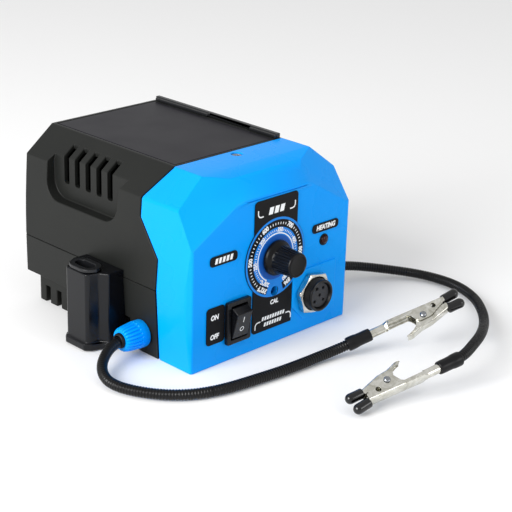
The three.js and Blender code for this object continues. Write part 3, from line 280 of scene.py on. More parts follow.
def metal(name, colour, roughness, shades, stain_and_reflection_clouds, strength, rub=None, **settings):
    """Bare metal: blotches in two shades, stains on zinc and brass and painted reflections on nickel, and
    fine marks a hundredth of a millimetre deep, which follow the blotches or are rubbed in at a size of their
    own."""
    material, tree, shader = new_finish(name, colour, roughness, Metallic=1.0)
    # On nickel these two-shade blotches are painted reflections, dark olive to near white; on zinc and brass
    # they are stains.
    stains_and_reflections = noise(tree, *stain_and_reflection_clouds, **settings)
    two_shades(tree, shader, stains_and_reflections, *shades)
    marks = stains_and_reflections
    if rub:
        marks = noise(tree, *rub[:2])
        rough_range(tree, shader, marks, *rub[2:])
    raised(tree, shader, marks, strength, 0.01)
    return material


# Zinc-plated steel: a cool grey metal with fine turning marks.
zinc = metal("zinc_plated_steel", "#8E9196", 0.3, ("#83868B", "#A2A5A9"), (0.8, 4.0), 0.3)
softened("top_screw", "visor_screw", zinc, 0.15, "steel", segments=2)

# ---------------------------------------------------------------- housings
# Two black ABS mouldings, the upper one with a vent pocket on each side and a recess for the
# top plate, the lower one with the front foot. The mould was spark-eroded, so they are matt.

# Spark-eroded ABS: a dark neutral grey with a fine even grain that scatters highlights.
grained_abs = moulded("grained_black_abs", "#171817", "#1E1F1D", 0.44, 0.5, 0.03, gloss=0.17)

for node in ("upper_housing", "lower_housing"):
    softened(node, "black_" + node, grained_abs, 0.5, "black_case")

# ---------------------------------------------------------------- top plate and rail
# A flat satin plate is bonded into the recess of the upper housing. A black rail with two
# inner lips runs along its right edge and stops a tool from rolling off.

# Satin-coated sheet: a violet-tinged grey, smooth, with a broad soft sheen.
satin_sheet = moulded("satin_coated_sheet", "#19181E", "#1D1C22", 0.4, 0.9, 0.012, gloss=0.12)
softened("top_plate", "satin_top_plate", satin_sheet, 0.25, "satin_plate", segments=2)

# Moulded black rail: the housing's plastic, polished, so its lips catch a bright line.
rail_abs = moulded("polished_black_abs", "#141517", "#1A1B1D", 0.28, 1.1, 0.01, gloss=0.4)
softened("top_rail", "black_top_rail", rail_abs, 0.35, "black_case")

# ---------------------------------------------------------------- panel labels
# Four die-cut polycarbonate labels, printed black from behind and bonded to the panel. The
# dial's blue is left clear of the black print, and all marks are white ink.

# Polycarbonate film over black ink: a soft black with a fine matt skin.
black_film = moulded("black_printed_film", "#0C0C0E", "#111113", 0.4, 0.3, 0.006, gloss=0.12)
for node in ("panel_label", "model_label", "status_label", "switch_label"):
    softened(node, "black_" + node, black_film, 0.1, "label", segments=2)

# Screen inks: flat opaque layers with a slightly grainy edge-to-edge cover. The deep blue is painted shade,
# the knob's shadow on the dial.
white_ink = moulded("white_screen_ink", "#F2F4F5", "#E6E9EC", 0.5, 0.25, 0.004)
blue_ink = moulded("azure_screen_ink", "#0E7BD8", "#1584E0", 0.42, 0.3, 0.004, gloss=0.2)
# Painted shade: a darker blue that stands for the knob's shadow round its skirt.
knob_shade_blue = moulded("painted_knob_shade_blue", "#0A4FA8", "#0D58B2", 0.42, 0.3, 0.004, gloss=0.2)

INK = 0.03


def middle_of(node):
    """The middle of a CAD node's box, in millimetres."""
    low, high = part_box(node)
    return [(a + b) / 2 / MM for a, b in zip(low, high)]


label_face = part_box("panel_label")[0].y / MM
dial_x, _, dial_z = middle_of("knob")
DIAL_OUTER = 19.3
SCALE_OUTER = 18.2
SCALE_INNER = 14.5
ARC_RADIUS = 11.6
ARC_WIDTH = 0.55


def mesh_from(form, name, material):
    """Turns a bmesh's faces outward and keeps it as an object."""
    bmesh.ops.recalc_face_normals(form, faces=form.faces)
    mesh = bpy.data.meshes.new(name)
    form.to_mesh(mesh)
    form.free()
    return mesh_object(name, mesh, material)


def slabs(name, shapes, corner, material):
    """Thin closed prints. A shape is an outer edge and a hole's edge or None, each a list of two measures,
    and corner turns two measures and a level, 0 or 1, into a point in millimetres."""
    form = bmesh.new()
    for outline, hole in shapes:
        loops = [[[form.verts.new(corner(a, b, level) * MM) for a, b in edge] for level in (0, 1)]
                 for edge in (outline, hole) if edge]
        for low, high in loops + ([(loops[0][level], loops[1][level]) for level in (0, 1)] if hole else []):
            for i in range(len(low)):
                j = (i + 1) % len(low)
                form.faces.new((low[i], low[j], high[j], high[i]))
        if not hole:
            form.faces.new(loops[0][0])
            form.faces.new(loops[0][1])
    return mesh_from(form, name, material)


def printed(name, rings, layer, material):
    """A print on the panel, so many layers up. rings are closed outlines of (x, z) in millimetres."""
    made = slabs(name, [(ring, None) for ring in rings],
                 lambda x, z, level: Vector((x, label_face - (layer + level) * INK, z)), material)
    return fit(made, "label", "station")


def sector(radius_in, radius_out, start, end, steps=96):
    """The outline of part of a ring round the dial. Angles run clockwise from the top, in degrees."""
    angles = [math.radians(start + (end - start) * i / steps) for i in range(steps + 1)]
    out = [(dial_x + radius_out * math.sin(a), dial_z + radius_out * math.cos(a)) for a in angles]
    back = [(dial_x + radius_in * math.sin(a), dial_z + radius_in * math.cos(a)) for a in reversed(angles)]
    return out + back


trim_z = middle_of("trimmer_screw")[2]
TRIM_CLEAR = 2.4
KNOB_CLEAR = 6.2


def field(radius_in, radius_out, steps=160):
    """A ring slit at the bottom, where it goes round the calibration hole."""
    hole_radius = dial_z - trim_z
    rings = 40

    def half_gap(radius):
        across = TRIM_CLEAR ** 2 - (radius - hole_radius) ** 2
        return math.degrees(math.asin(max(math.sqrt(max(across, 0)), 0.01) / radius))

    radii = [radius_out + (radius_in - radius_out) * i / rings for i in range(rings + 1)]
    open_out, open_in = half_gap(radius_out), half_gap(radius_in)
    outline = sector(radius_out, radius_out, open_out - 180, 180 - open_out, steps)[:steps + 1]
    down = [(r, math.radians(180 - half_gap(r))) for r in radii[1:-1]]
    outline += [(dial_x + r * math.sin(a), dial_z + r * math.cos(a)) for r, a in down]
    outline += sector(radius_in, radius_in, open_in - 180, 180 - open_in, steps)[steps + 1:]
    return outline + [(dial_x - r * math.sin(a), dial_z + r * math.cos(a)) for r, a in reversed(down)]


printed("dial_blue_field", [field(KNOB_CLEAR, DIAL_OUTER)], 0, blue_ink)
# Painted shade: a deep blue disc from under the knob to just inside the white arc stands for the knob's
# shadow on the dial.
printed("dial_painted_knob_shade", [sector(KNOB_CLEAR, ARC_RADIUS - 0.8, -179.9, 179.9, 120)], 1, knob_shade_blue)
printed("dial_black_scale", [sector(SCALE_INNER, SCALE_OUTER, -162, 162, 140)], 1, black_film)
printed("dial_white_arc", [
    sector(ARC_RADIUS - ARC_WIDTH / 2, ARC_RADIUS + ARC_WIDTH / 2, -152, 152, 120),
    sector(ARC_RADIUS + ARC_WIDTH / 2, ARC_RADIUS + 1.5, -152, -149.4, 2),
    sector(ARC_RADIUS + ARC_WIDTH / 2, ARC_RADIUS + 1.5, 149.4, 152, 2)], 1, white_ink)

# Both temperature scales sweep 300 degrees, so 392 F stands over 200 C and 896 F over 480 C.
SWEEP_START = -150.0
SWEEP = 300.0
NUMBER_SIZE = {"outer": 3.2, "inner": 2.8}
SCALES = (
    # side, first and last value, first tick, step, number of ticks, numbers every, clear of a number,
    # radius, tick length, tick width
    ("outer", 392, 896, 420, 10, 46, 100, 17.0, 16.35, 1.1, 0.42),
    ("inner", 200, 480, 210, 5, 53, 50, 9.4, 13.15, 1.0, 0.3),
)


def calc(tree, operation, *terms):
    """The output of one maths node on the terms."""
    return add(tree, "ShaderNodeMath", dict(enumerate(terms)), operation=operation).outputs[0]


def new_tree(name, kinds):
    """A geometry tree with named inputs and one mesh output; returns it and its inputs."""
    tree = bpy.data.node_groups.new(name, "GeometryNodeTree")
    for socket_name, kind in kinds.items():
        tree.interface.new_socket(socket_name, in_out="INPUT", socket_type="NodeSocket" + kind)
    tree.interface.new_socket("Mesh", in_out="OUTPUT", socket_type="NodeSocketGeometry")
    return tree, add(tree, "NodeGroupInput").outputs


def end_tree(tree, geometry, material):
    """Ends a tree with real geometry of one material."""
    real = add(tree, "GeometryNodeRealizeInstances", {0: geometry})
    skinned = add(tree, "GeometryNodeSetMaterial", {"Geometry": real.outputs[0], "Material": material})
    add(tree, "NodeGroupOutput", {0: skinned.outputs[0]})


tick_tree, given = new_tree("dial_ticks", {
    "First Value": "Float", "Step": "Float", "Count": "Int", "Number Every": "Float",
    "Clear Of Number": "Float", "Zero Value": "Float", "Radians Per Unit": "Float", "Start Angle": "Float",
    "Radius": "Float", "Tick Size": "Vector", "Centre": "Vector", "Ink": "Material"})
order = add(tick_tree, "GeometryNodeInputIndex").outputs[0]
value_at = calc(tick_tree, "MULTIPLY_ADD", order, given["Step"], given["First Value"])
past = calc(tick_tree, "MODULO", value_at, given["Number Every"])
short_of = calc(tick_tree, "SUBTRACT", given["Number Every"], past)
nearest = calc(tick_tree, "MINIMUM", past, short_of)
covered = calc(tick_tree, "LESS_THAN", nearest, given["Clear Of Number"])
from_zero = calc(tick_tree, "SUBTRACT", value_at, given["Zero Value"])
turned = calc(tick_tree, "MULTIPLY_ADD", from_zero, given["Radians Per Unit"], given["Start Angle"])
east = calc(tick_tree, "MULTIPLY", calc(tick_tree, "SINE", turned), given["Radius"])
north = calc(tick_tree, "MULTIPLY", calc(tick_tree, "COSINE", turned), given["Radius"])
spot = add(tick_tree, "ShaderNodeCombineXYZ", {"X": east, "Z": north})
spots = add(tick_tree, "GeometryNodePoints", {"Count": given["Count"], "Position": spot.outputs[0]})
kept = add(tick_tree, "GeometryNodeDeleteGeometry", {"Geometry": spots.outputs[0], "Selection": covered})
bar_mesh = add(tick_tree, "GeometryNodeMeshCube", {"Size": given["Tick Size"]})
# Deleting renumbers the points, so the angle is worked out again from where each one lies.
where = add(tick_tree, "ShaderNodeSeparateXYZ", {0: add(tick_tree, "GeometryNodeInputPosition").outputs[0]})
facing = calc(tick_tree, "ARCTAN2", where.outputs["X"], where.outputs["Z"])
lean = add(tick_tree, "ShaderNodeCombineXYZ", {"Y": facing})
ticks = add(tick_tree, "GeometryNodeInstanceOnPoints", {
    "Points": kept.outputs[0], "Instance": bar_mesh.outputs[0], "Rotation": lean.outputs[0]})
moved = add(tick_tree, "GeometryNodeTransform", {
    "Geometry": ticks.outputs[0], "Translation": given["Centre"]})
end_tree(tick_tree, moved.outputs[0], given["Ink"])


def grown(name, tree, inputs, source=None):
    """Runs a geometry tree on an empty mesh, or on a curve, and returns the result as a plain mesh object."""
    base = source or bpy.data.objects.new(name + "_seed", bpy.data.meshes.new(name + "_seed"))
    bpy.context.scene.collection.objects.link(base)
    modifier = base.modifiers.new("grow", "NODES")
    modifier.node_group = tree
    identifiers = {item.name: item.identifier for item in tree.interface.items_tree if item.in_out == "INPUT"}
    for key, value in inputs.items():
        modifier[identifiers[key]] = value
    bpy.context.view_layer.update()
    evaluated = base.evaluated_get(bpy.context.evaluated_depsgraph_get())
    mesh = bpy.data.meshes.new_from_object(evaluated)
    mesh.name = name
    bpy.data.objects.remove(base)
    return placed(name, mesh)


BOLDNESS = 0.045


def lettering(name, words, size, at, turn=0, layer=2, squeeze=1.0, slant=0.0):
    """White characters, centred at (x, z) millimetres on the panel, turned clockwise by some degrees."""
    curve = bpy.data.curves.new(name, "FONT")
    curve.body = words
    curve.size = size * MM
    curve.align_x = "CENTER"
    curve.align_y = "CENTER"
    curve.extrude = INK / 2 * MM
    curve.offset = BOLDNESS * size * MM
    curve.resolution_u = 3
    curve.shear = slant
    holder = placed(name + "_type", curve)
    bpy.context.view_layer.update()
    mesh = bpy.data.meshes.new_from_object(holder.evaluated_get(bpy.context.evaluated_depsgraph_get()))
    bpy.data.objects.remove(holder)
    middle = Vector((at[0], label_face - (layer + 0.5) * INK, at[1]))
    place = (Matrix.Translation(middle * MM)
             @ Matrix.Rotation(math.radians(turn), 4, "Y") @ Matrix.Rotation(math.radians(90), 4, "X")
             @ Matrix.Diagonal((squeeze, 1, 1, 1)))
    mesh.transform(place)
    fit(mesh_object(name, mesh, white_ink), "label", "station")


for side, low, high, first, step, count, every, clear, radius, length, width in SCALES:
    scale_ticks = grown("dial_ticks_" + side, tick_tree, {
        "First Value": float(first), "Step": float(step), "Count": count, "Number Every": float(every),
        "Clear Of Number": clear, "Zero Value": float(low),
        "Radians Per Unit": math.radians(SWEEP / (high - low)), "Start Angle": math.radians(SWEEP_START),
        "Radius": radius * MM, "Tick Size": (width * MM, INK * MM, length * MM),
        "Centre": Vector((dial_x, label_face - 2.5 * INK, dial_z)) * MM, "Ink": white_ink})
    fit(scale_ticks, "label", "station")
    for value in (low, *range(first - first % every + every, high, every), high):
        turn = SWEEP_START + SWEEP * (value - low) / (high - low)
        a = math.radians(turn)
        unit = {392: "°F", 200: "°C"}.get(value, "")
        at = (dial_x + radius * math.sin(a), dial_z + radius * math.cos(a))
        lettering(f"dial_number_{value}", f"{value}{unit}", NUMBER_SIZE[side], at, turn, squeeze=0.86)

# Corner brackets frame the plate's top and bottom, drawn as short strokes with a round elbow.
BRACKET_REACH = 3.4
BRACKET_RADIUS = 1.8
BRACKET_STROKE = 0.6


def bracket(x, z, to_right, to_top):
    """A corner stroke whose elbow is at (x, z) and whose arms run along x and z."""
    outline = []
    for order_of in (1, -1):
        inward = -order_of * BRACKET_STROKE / 2
        radius = BRACKET_RADIUS - inward
        arc = [(BRACKET_RADIUS - radius * math.cos(a), BRACKET_RADIUS - radius * math.sin(a))
               for a in (math.radians(degrees) for degrees in range(0, 91, 15))]
        outline += [(inward, BRACKET_REACH), *arc, (BRACKET_REACH, inward)][::order_of]
    return [(x + px * to_right, z + pz * to_top) for px, pz in outline]


LEFT_EDGE = -11.6
RIGHT_EDGE = 12.4
UPPER_EDGE_Z = 65.6
LOWER_EDGE_Z = 13.6
printed("plate_brackets", [
    bracket(LEFT_EDGE, UPPER_EDGE_Z, 1, 1), bracket(RIGHT_EDGE, UPPER_EDGE_Z, -1, 1),
    bracket(LEFT_EDGE, LOWER_EDGE_Z, 1, -1), bracket(RIGHT_EDGE - 0.4, LOWER_EDGE_Z, -1, -1)], 0, white_ink)

# Plain marks stand where a maker would print words of its own: three slanted bars at the
# top, two rows of blocks at the bottom, and a row of bars on the left pill.


def slanted_bars(x, z, count, width, height, gap, slant=0.25):
    """A row of leaning bars, centred at (x, z)."""
    starts = [x + (i - (count - 1) / 2) * (width + gap) for i in range(count)]
    return [[(start + sx * width / 2 + sz * height / 2 * slant, z + sz * height / 2)
             for sx, sz in ((-1, -1), (1, -1), (1, 1), (-1, 1))] for start in starts]


middle = (LEFT_EDGE + RIGHT_EDGE) / 2
printed("plate_mark", slanted_bars(middle, 67.3, 3, 2.6, 3.4, 1.0), 0, white_ink)
printed("plate_rows", slanted_bars(middle - 0.2, 14.6, 9, 1.2, 1.9, 0.5)
        + slanted_bars(middle - 0.4, 11.5, 7, 1.2, 1.9, 0.5), 0, white_ink)
lettering("calibration_word", "CAL", 3.0, (dial_x, 21.6), layer=0, squeeze=0.95, slant=0.15)
printed("model_bars", slanted_bars(*middle_of("model_label")[::2], 5, 1.5, 2.6, 0.8), 0, white_ink)
lettering("status_word", "HEATING", 3.3, middle_of("status_label")[::2], layer=0, squeeze=0.92, slant=0.2)
switch_low, switch_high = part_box("switch_label")
switch_middle = middle_of("switch_label")[0] - 0.8
for word, share in (("ON", 0.72), ("OFF", 0.2)):
    word_z = (switch_low.z + (switch_high.z - switch_low.z) * share) / MM
    lettering("switch_word_" + word.lower(), word, 3.3, (switch_middle, word_z),
              layer=0, squeeze=0.9, slant=0.15)

# ---------------------------------------------------------------- knob
# A black ABS control knob, moulded in one with a skirt that flares to the dial. Fine flutes
# run down its side for the fingers, and a brass shaft carries it.


SHARP_ANGLE = 38


def turned_form(name, profile, centre, axis, material, sides=64, shape=None):
    """A closed turned form. profile lists (radius, height) in millimetres from one pole to the other, and
    shape may change a radius, given the radius, the height and the angle."""
    axis = Vector(axis).normalized()
    across = axis.orthogonal().normalized()
    if abs(axis.y) > 0.99:
        across = Vector((1, 0, 0))
    other = axis.cross(across)
    form = bmesh.new()
    rows = []
    for radius, height in profile:
        if radius <= 0:
            rows.append([form.verts.new((Vector(centre) + axis * height) * MM)])
            continue
        row = []
        for i in range(sides):
            angle = 2 * math.pi * i / sides
            r = shape(radius, height, angle) if shape else radius
            row.append(form.verts.new((Vector(centre) + axis * height + (
                across * math.cos(angle) + other * math.sin(angle)) * r) * MM))
        rows.append(row)
    for low, high in zip(rows, rows[1:]):
        for i in range(sides):
            j = (i + 1) % sides
            if len(low) == 1:
                form.faces.new((low[0], high[i], high[j]))
            elif len(high) == 1:
                form.faces.new((low[i], low[j], high[0]))
            else:
                form.faces.new((low[i], low[j], high[j], high[i]))
    if len(rows[0]) > 1:
        for i in range(sides):
            j = (i + 1) % sides
            form.faces.new((rows[-1][i], rows[-1][j], rows[0][j], rows[0][i]))
    for face in form.faces:
        face.smooth = True
    made = mesh_from(form, name, material)
    made.data.set_sharp_from_angle(angle=math.radians(SHARP_ANGLE))
    return made


# Knob ABS: near-black, eggshell sheen.
knob_abs = moulded("eggshell_black_abs", "#040406", "#08080A", 0.3, 0.6, 0.012, gloss=0.2)
KNOB_FLUTES = 24
KNOB_FLUTE_DEPTH = 0.32
knob_low, knob_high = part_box("knob")
knob_base = knob_high.y / MM
knob_length = (knob_high.y - knob_low.y) / MM


def fluted(radius, height, angle):
    """Shallow finger flutes that start above the skirt and stop short of the rim."""
    fade = min(max((height - 3.6) / 1.2, 0), 1) * min(max((knob_length - 1.1 - height) / 0.8, 0), 1)
    wave = abs(math.sin(KNOB_FLUTES * angle / 2))
    return radius - KNOB_FLUTE_DEPTH * (1 - wave) * fade


knob_profile = [
    (0, knob_length - 2.2), (3.3, knob_length - 2.2), (3.3, 2.5), (6.2, 2.5), (6.2, 0.0), (8.2, 0.0),
    (8.5, 0.12), (8.6, 0.5), (8.5, 1.1), (8.25, 1.7), (7.85, 2.25), (7.35, 2.75), (6.9, 3.15), (6.68, 3.5),
    (6.58, 4.0), (6.45, 5.0), (6.3, 7.5), (6.12, 10.0),
]
knob_profile += [(radius, knob_length - short) for radius, short in (
    (6.0, 1.9), (5.95, 1.1), (5.85, 0.5), (5.6, 0.15), (5.2, 0.02), (4.9, 0.02), (4.75, 0.3), (4.4, 0.38),
    (0, 0.38))]
knob = turned_form("fluted_knob", knob_profile, (dial_x, knob_base, dial_z), (0, -1, 0), knob_abs,
                   240, fluted)
fit(knob, "control_black", "knob", "knob")

# Machined brass: warm yellow, fine turning rings.
brass = metal("turned_brass", "#C7A14D", 0.3, ("#B68E3F", "#CFAB5C"), (1.5, 4.0), 0.25)

# Bright nickel: a pale warm mirror, slightly brushed, with painted reflections: broad blotches from dark
# olive to near white in its colour.
nickel = metal("bright_nickel_plate", "#C9C8BE", 0.22, ("#9A9784", "#FFFEF9"), (5, 2.0), 0.25,
               rub=(0.5, 3.0, 0.12, 0.34), Distortion=1.2)

for node, material, slot_name in (
        ("pot_shaft", brass, "brass"), ("pot_nut", nickel, "nickel"), ("pot_body", zinc, "steel")):
    body = "knob" if node == "pot_shaft" else "station"
    softened(node, "turned_" + node, material, 0.15, slot_name, body, segments=2)

# ---------------------------------------------------------------- rocker switch
# A snap-in switch of black nylon: a raised frame round a roof-shaped key. White marks for on
# and off are printed on the key's lower face.

# Glass-filled nylon: deep black with a soft gloss and a slight mottle.
black_nylon = moulded("gloss_black_nylon", "#08090C", "#0D0E12", 0.27, 0.8, 0.01, gloss=0.3)
softened("rocker_housing", "switch_frame", black_nylon, 0.3, "control_black")
softened("rocker", "switch_key", black_nylon, 0.3, "control_black", "rocker")

# The lower face runs from the crest to the key's lower front edge.
KEY_FRONT_Y = -14.0
MARK_RELIEF = 0.05
key_points = [v.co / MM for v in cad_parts["rocker"].data.vertices]
crest = min(key_points, key=lambda co: co.y)
lower_edge = min((co for co in key_points if co.y < KEY_FRONT_Y), key=lambda co: co.z)
key_middle = middle_of("rocker")[0]
face_down = lower_edge - crest
face_down.x = 0
face_length = face_down.length
face_down.normalize()
face_out = face_down.cross(Vector((1, 0, 0)))


def key_mark(name, outline, hole=None):
    """A white print on the key's lower face. Its edges are in millimetres across and down the face."""
    def corner(across, down, level):
        start = Vector((key_middle + across, crest.y, crest.z))
        return start + face_down * down + face_out * (level * MARK_RELIEF)
    fit(slabs(name, [(outline, hole)], corner, white_ink), "label", "rocker")


def oval(across, down, radius, steps=40):
    """A circle on the key's face."""
    angles = [2 * math.pi * i / steps for i in range(steps)]
    return [(across + radius * math.cos(a), down + radius * math.sin(a)) for a in angles]


STROKE_HALF = 0.2
stroke_start, stroke_end, ring_middle = (face_length * share for share in (0.16, 0.38, 0.66))
key_mark("switch_on_stroke", [(-STROKE_HALF, stroke_start), (STROKE_HALF, stroke_start),
                              (STROKE_HALF, stroke_end), (-STROKE_HALF, stroke_end)])
key_mark("switch_off_ring", oval(0, ring_middle, 1.25), oval(0, ring_middle, 0.9))

# ---------------------------------------------------------------- iron socket
# A threaded metal connector, blackened, with a hex nut that clamps it to a raised pad. Five
# contacts sit in a grey insert at the bottom of its cup.

socket_x, _, socket_z = middle_of("socket_barrel")
socket_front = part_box("socket_barrel")[0].y / MM
nut_low, nut_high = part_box("socket_nut")
THREAD_START = 0.8
THREAD_PITCH = 1.0
THREAD_TURNS = 9
THREAD_DEPTH = 0.4
BARREL_RADIUS = 7.9
CUP_RADIUS = 6.45
BARREL_BACK_Y = 1.0
barrel_length = BARREL_BACK_Y - socket_front
# Blackened brass: near-black metal that still catches a line of light on each crest.
blackened = moulded("blackened_connector", "#070708", "#0D0D0E", 0.3, 0.5, 0.01, gloss=0.35)
mouth = BARREL_RADIUS - 0.1
root = BARREL_RADIUS - THREAD_DEPTH
barrel_profile = [(CUP_RADIUS, barrel_length), (CUP_RADIUS, 0.5), (CUP_RADIUS + 0.3, 0.08),
                  (CUP_RADIUS + 0.6, 0.0), (BARREL_RADIUS - 0.55, 0.0), (mouth, 0.35)]
for turn in range(THREAD_TURNS):
    height = THREAD_START + turn * THREAD_PITCH
    barrel_profile += [(BARREL_RADIUS, height), (BARREL_RADIUS, height + 0.2), (root, height + 0.5),
                       (root, height + 0.65)]
barrel_profile += [(mouth, 9.9), (mouth, 10.7), (9.9, 10.7), (9.9, 11.2), (mouth, 11.2),
                   (mouth, barrel_length)]
barrel = turned_form("threaded_barrel", barrel_profile, (socket_x, socket_front, socket_z), (0, 1, 0),
                     blackened, 72)
fit(barrel, "control_black", "station", "socket_barrel")

NUT_FLATS = 18.8
NUT_TURN = math.radians(11)
nut_height = (nut_high.y - nut_low.y) / MM


def hexagonal(radius, height, angle):
    """Cuts a turned form down to six flats; the bore is left round."""
    if radius < BARREL_RADIUS + 0.6:
        return radius
    sixth = (angle - NUT_TURN + math.radians(60)) % math.radians(60) - math.radians(30)
    return min(radius, NUT_FLATS / 2 / math.cos(sixth))


NUT_CORNER = NUT_FLATS / 2 / math.cos(math.radians(30))
hex_profile = [(8.15, nut_height), (8.15, 0.35), (8.5, 0.0), (NUT_FLATS / 2 - 0.25, 0.0),
               (NUT_FLATS / 2 + 0.15, 0.18), (NUT_CORNER - 0.5, 0.42), (NUT_CORNER, 0.7),
               (NUT_CORNER, nut_height - 0.5),
               (NUT_CORNER - 0.5, nut_height - 0.2), (NUT_FLATS / 2 + 0.1, nut_height)]
hex_nut = turned_form("socket_hex_nut", hex_profile, (socket_x, nut_low.y / MM, socket_z), (0, 1, 0),
                      nickel, 144, hexagonal)
fit(hex_nut, "nickel", "station", "socket_nut")

# Grey thermoset: matt, slightly cloudy.
grey_thermoset = moulded("grey_thermoset", "#2C2D31", "#35373B", 0.5, 0.5, 0.02, gloss=0.3)
softened("socket_insert", "contact_insert", grey_thermoset, 0.18, "insert_grey", segments=2)

# ---------------------------------------------------------------- lamp and trimmer
# A five millimetre red lamp stands out of a plain hole. Behind the calibration hole sits a
# small blue potentiometer with a slotted brass screw.

# Tinted epoxy: dark red and clear-gloss, unlit.
red_epoxy, red_tree, red_shader = new_finish("dark_red_epoxy", "#2A0503", 0.12, Specular_IOR_Level=0.3)
two_shades(red_tree, red_shader, noise(red_tree, 2, 1.0), "#150202", "#350604")
LAMP_RADIUS = 2.4
DOME_RADIUS = LAMP_RADIUS - 0.3
DOME_RISE = 1.2
PANEL_Y = -13.25
lamp_x, _, lamp_z = middle_of("status_lamp")
lamp_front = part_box("status_lamp")[0].y / MM
lamp_profile = [(0, 0.0)] + [
    (DOME_RADIUS * math.sin(math.radians(a)), DOME_RISE - DOME_RISE * math.cos(math.radians(a)))
    for a in range(12, 91, 13)] + [(DOME_RADIUS, 3.9), (3.0, 3.9), (3.0, 5.0), (0, 5.0)]
lamp = turned_form("status_lamp_dome", lamp_profile, (lamp_x, lamp_front, lamp_z), (0, 1, 0), red_epoxy, 48)
fit(lamp, "lens_red", "station", "status_lamp")
rim_profile = [(LAMP_RADIUS + step, height) for step, height in (
    (-0.25, 0.6), (-0.25, -0.1), (-0.1, -0.3), (0.15, -0.35), (0.4, -0.2), (0.5, 0.0), (0.5, 0.23))]
lamp_rim = turned_form("status_lamp_rim", rim_profile, (lamp_x, PANEL_Y, lamp_z), (0, 1, 0), knob_abs, 48)
fit(lamp_rim, "control_black", "station")

for node, material, slot_name, body in (
        ("trimmer_body", azure_abs, "blue_shell", "station"), ("trimmer_screw", brass, "brass", "trimmer")):
    softened(node, "moulded_" + node, material, 0.12, slot_name, body, segments=2)

# ---------------------------------------------------------------- electronics
# Inside the housing: a glass-epoxy board on four posts, a finned aluminium heat sink over
# the regulator, and two screws.

# Solder-masked glass epoxy: glossy green with the weave just showing.
board_green, board_tree, board_shader = new_finish("solder_masked_board", "#1F6B3A", 0.35)
board_place = add(board_tree, "ShaderNodeTexCoord").outputs["Object"]
board_weave = add(board_tree, "ShaderNodeTexWave", {
    "Vector": board_place, "Scale": 1 / (2.5 * MM), "Distortion": 1.0})
two_shades(board_tree, board_shader, board_weave.outputs["Fac"], "#1A5E32", "#267543")

# Extruded aluminium: pale, with drawn lines along the fins.
drawn_aluminium, sink_tree, sink_shader = new_finish("extruded_aluminium", "#B4B6BA", 0.35, Metallic=1.0)
sink_place = add(sink_tree, "ShaderNodeTexCoord").outputs["Object"]
sink_stretch = add(sink_tree, "ShaderNodeMapping", {"Vector": sink_place, "Scale": (1, 0.04, 1)})
sink_lines = add(sink_tree, "ShaderNodeTexNoise", {
    "Vector": sink_stretch.outputs[0], "Scale": 1 / (0.4 * MM), "Detail": 3.0})
rough_range(sink_tree, sink_shader, sink_lines.outputs["Fac"], 0.28, 0.48)

for node, material, slot_name in (
        ("circuit_board", board_green, "board"), ("heat_sink", drawn_aluminium, "aluminium"),
        ("board_screw_front", zinc, "steel"), ("board_screw_rear", zinc, "steel")):
    softened(node, "fitted_" + node, material, 0.15, slot_name, segments=2)

# ---------------------------------------------------------------- battery shoe
# A black moulded shoe under the raised rear, with a channel that a tool battery slides into
# and two brass blades that meet its contacts.

softened("battery_shoe", "black_battery_shoe", grained_abs, 0.5, "black_case")
for node in ("battery_terminal_left", "battery_terminal_right"):
    softened(node, "blade_" + node, brass, 0.12, "brass", segments=2)

# ---------------------------------------------------------------- iron holder
# A black block screwed to the left side, with a slot-shaped pocket for the iron. A separate
# glossy collar lines the pocket's mouth.

# Glossier black ABS than the case: a deep black that mirrors the room along its edges.
holder_abs = moulded("satin_black_abs", "#06070A", "#0B0C10", 0.22, 1.0, 0.012, gloss=0.3)
softened("holder_body", "black_iron_holder", holder_abs, 0.6, "black_case")
softened("holder_collar", "glossy_holder_collar", rail_abs, 0.35, "control_black")

# ---------------------------------------------------------------- arm glands and nuts
# Each arm is clamped where it leaves the case: a threaded black gland through the wall, and a
# ribbed azure compression nut over it. A black rubber seal fills the nut's mouth.

# Moulded rubber: deep matt black.
seal_rubber = moulded("matt_seal_rubber", "#060607", "#0B0B0C", 0.5, 0.4, 0.02, gloss=0.25)
NUT_RIBS = 22
NUT_RIB_START = 4.2
NUT_RIB_DEPTH = 0.62
RIB_WIDTH = 1.9
NUT_BORE = 4.9


def ribbed(radius, height, angle):
    """Raised grip ribs from the collar to the nose; the bore is left round."""
    if radius < NUT_BORE:
        return radius
    fade = min(max((height - NUT_RIB_START) / 0.35, 0), 1)
    wave = 0.5 + 0.5 * math.cos(NUT_RIBS * angle)
    return radius - NUT_RIB_DEPTH * (1 - min(1, wave * RIB_WIDTH)) * fade


for side, sign in (("left", -1), ("right", 1)):
    softened(side + "_gland", side + "_threaded_gland", grained_abs, 0.25, "black_case", segments=2)
    low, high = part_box(side + "_gland_nut")
    centre = ((high.x if sign < 0 else low.x) / MM, *middle_of(side + "_gland_nut")[1:])
    nut_profile = [
        (4.7, 9.6), (4.7, 0.0), (6.2, 0.0), (6.5, 0.15), (6.6, 0.5), (6.6, 3.4), (6.55, 3.9), (6.58, 4.2),
        (6.56, 4.55), (6.4, 6.5), (6.15, 9.0), (5.85, 11.0), (5.6, 11.9), (5.2, 12.4), (4.85, 12.58),
        (3.6, 12.6), (3.2, 12.3), (3.2, 9.6)]
    nut = turned_form(side + "_compression_nut", nut_profile, centre, (sign, 0, 0), azure_abs, 264, ribbed)
    fit(nut, "blue_shell", side + "_nut", side + "_gland_nut")
    seal_profile = [(2.6, 10.0), (3.15, 10.0), (3.15, 12.3), (3.6, 12.65), (3.6, 13.6), (3.4, 14.0),
                    (3.05, 14.2), (2.7, 14.2), (2.6, 14.0)]
    seal = turned_form(side + "_neck_seal", seal_profile, centre, (sign, 0, 0), seal_rubber, 48)
    fit(seal, "neck", side + "_nut")

# ---------------------------------------------------------------- flexible necks
# Each arm is a wound steel gooseneck under a thin black PVC skin, which shows the winding as
# rings. It runs from its gland in a curve to the tail of a clip.

NECK_CREST = 2.48
NECK_GROOVE = 0.34
NECK_SIDES = 20
SMOOTH_RUN = 52
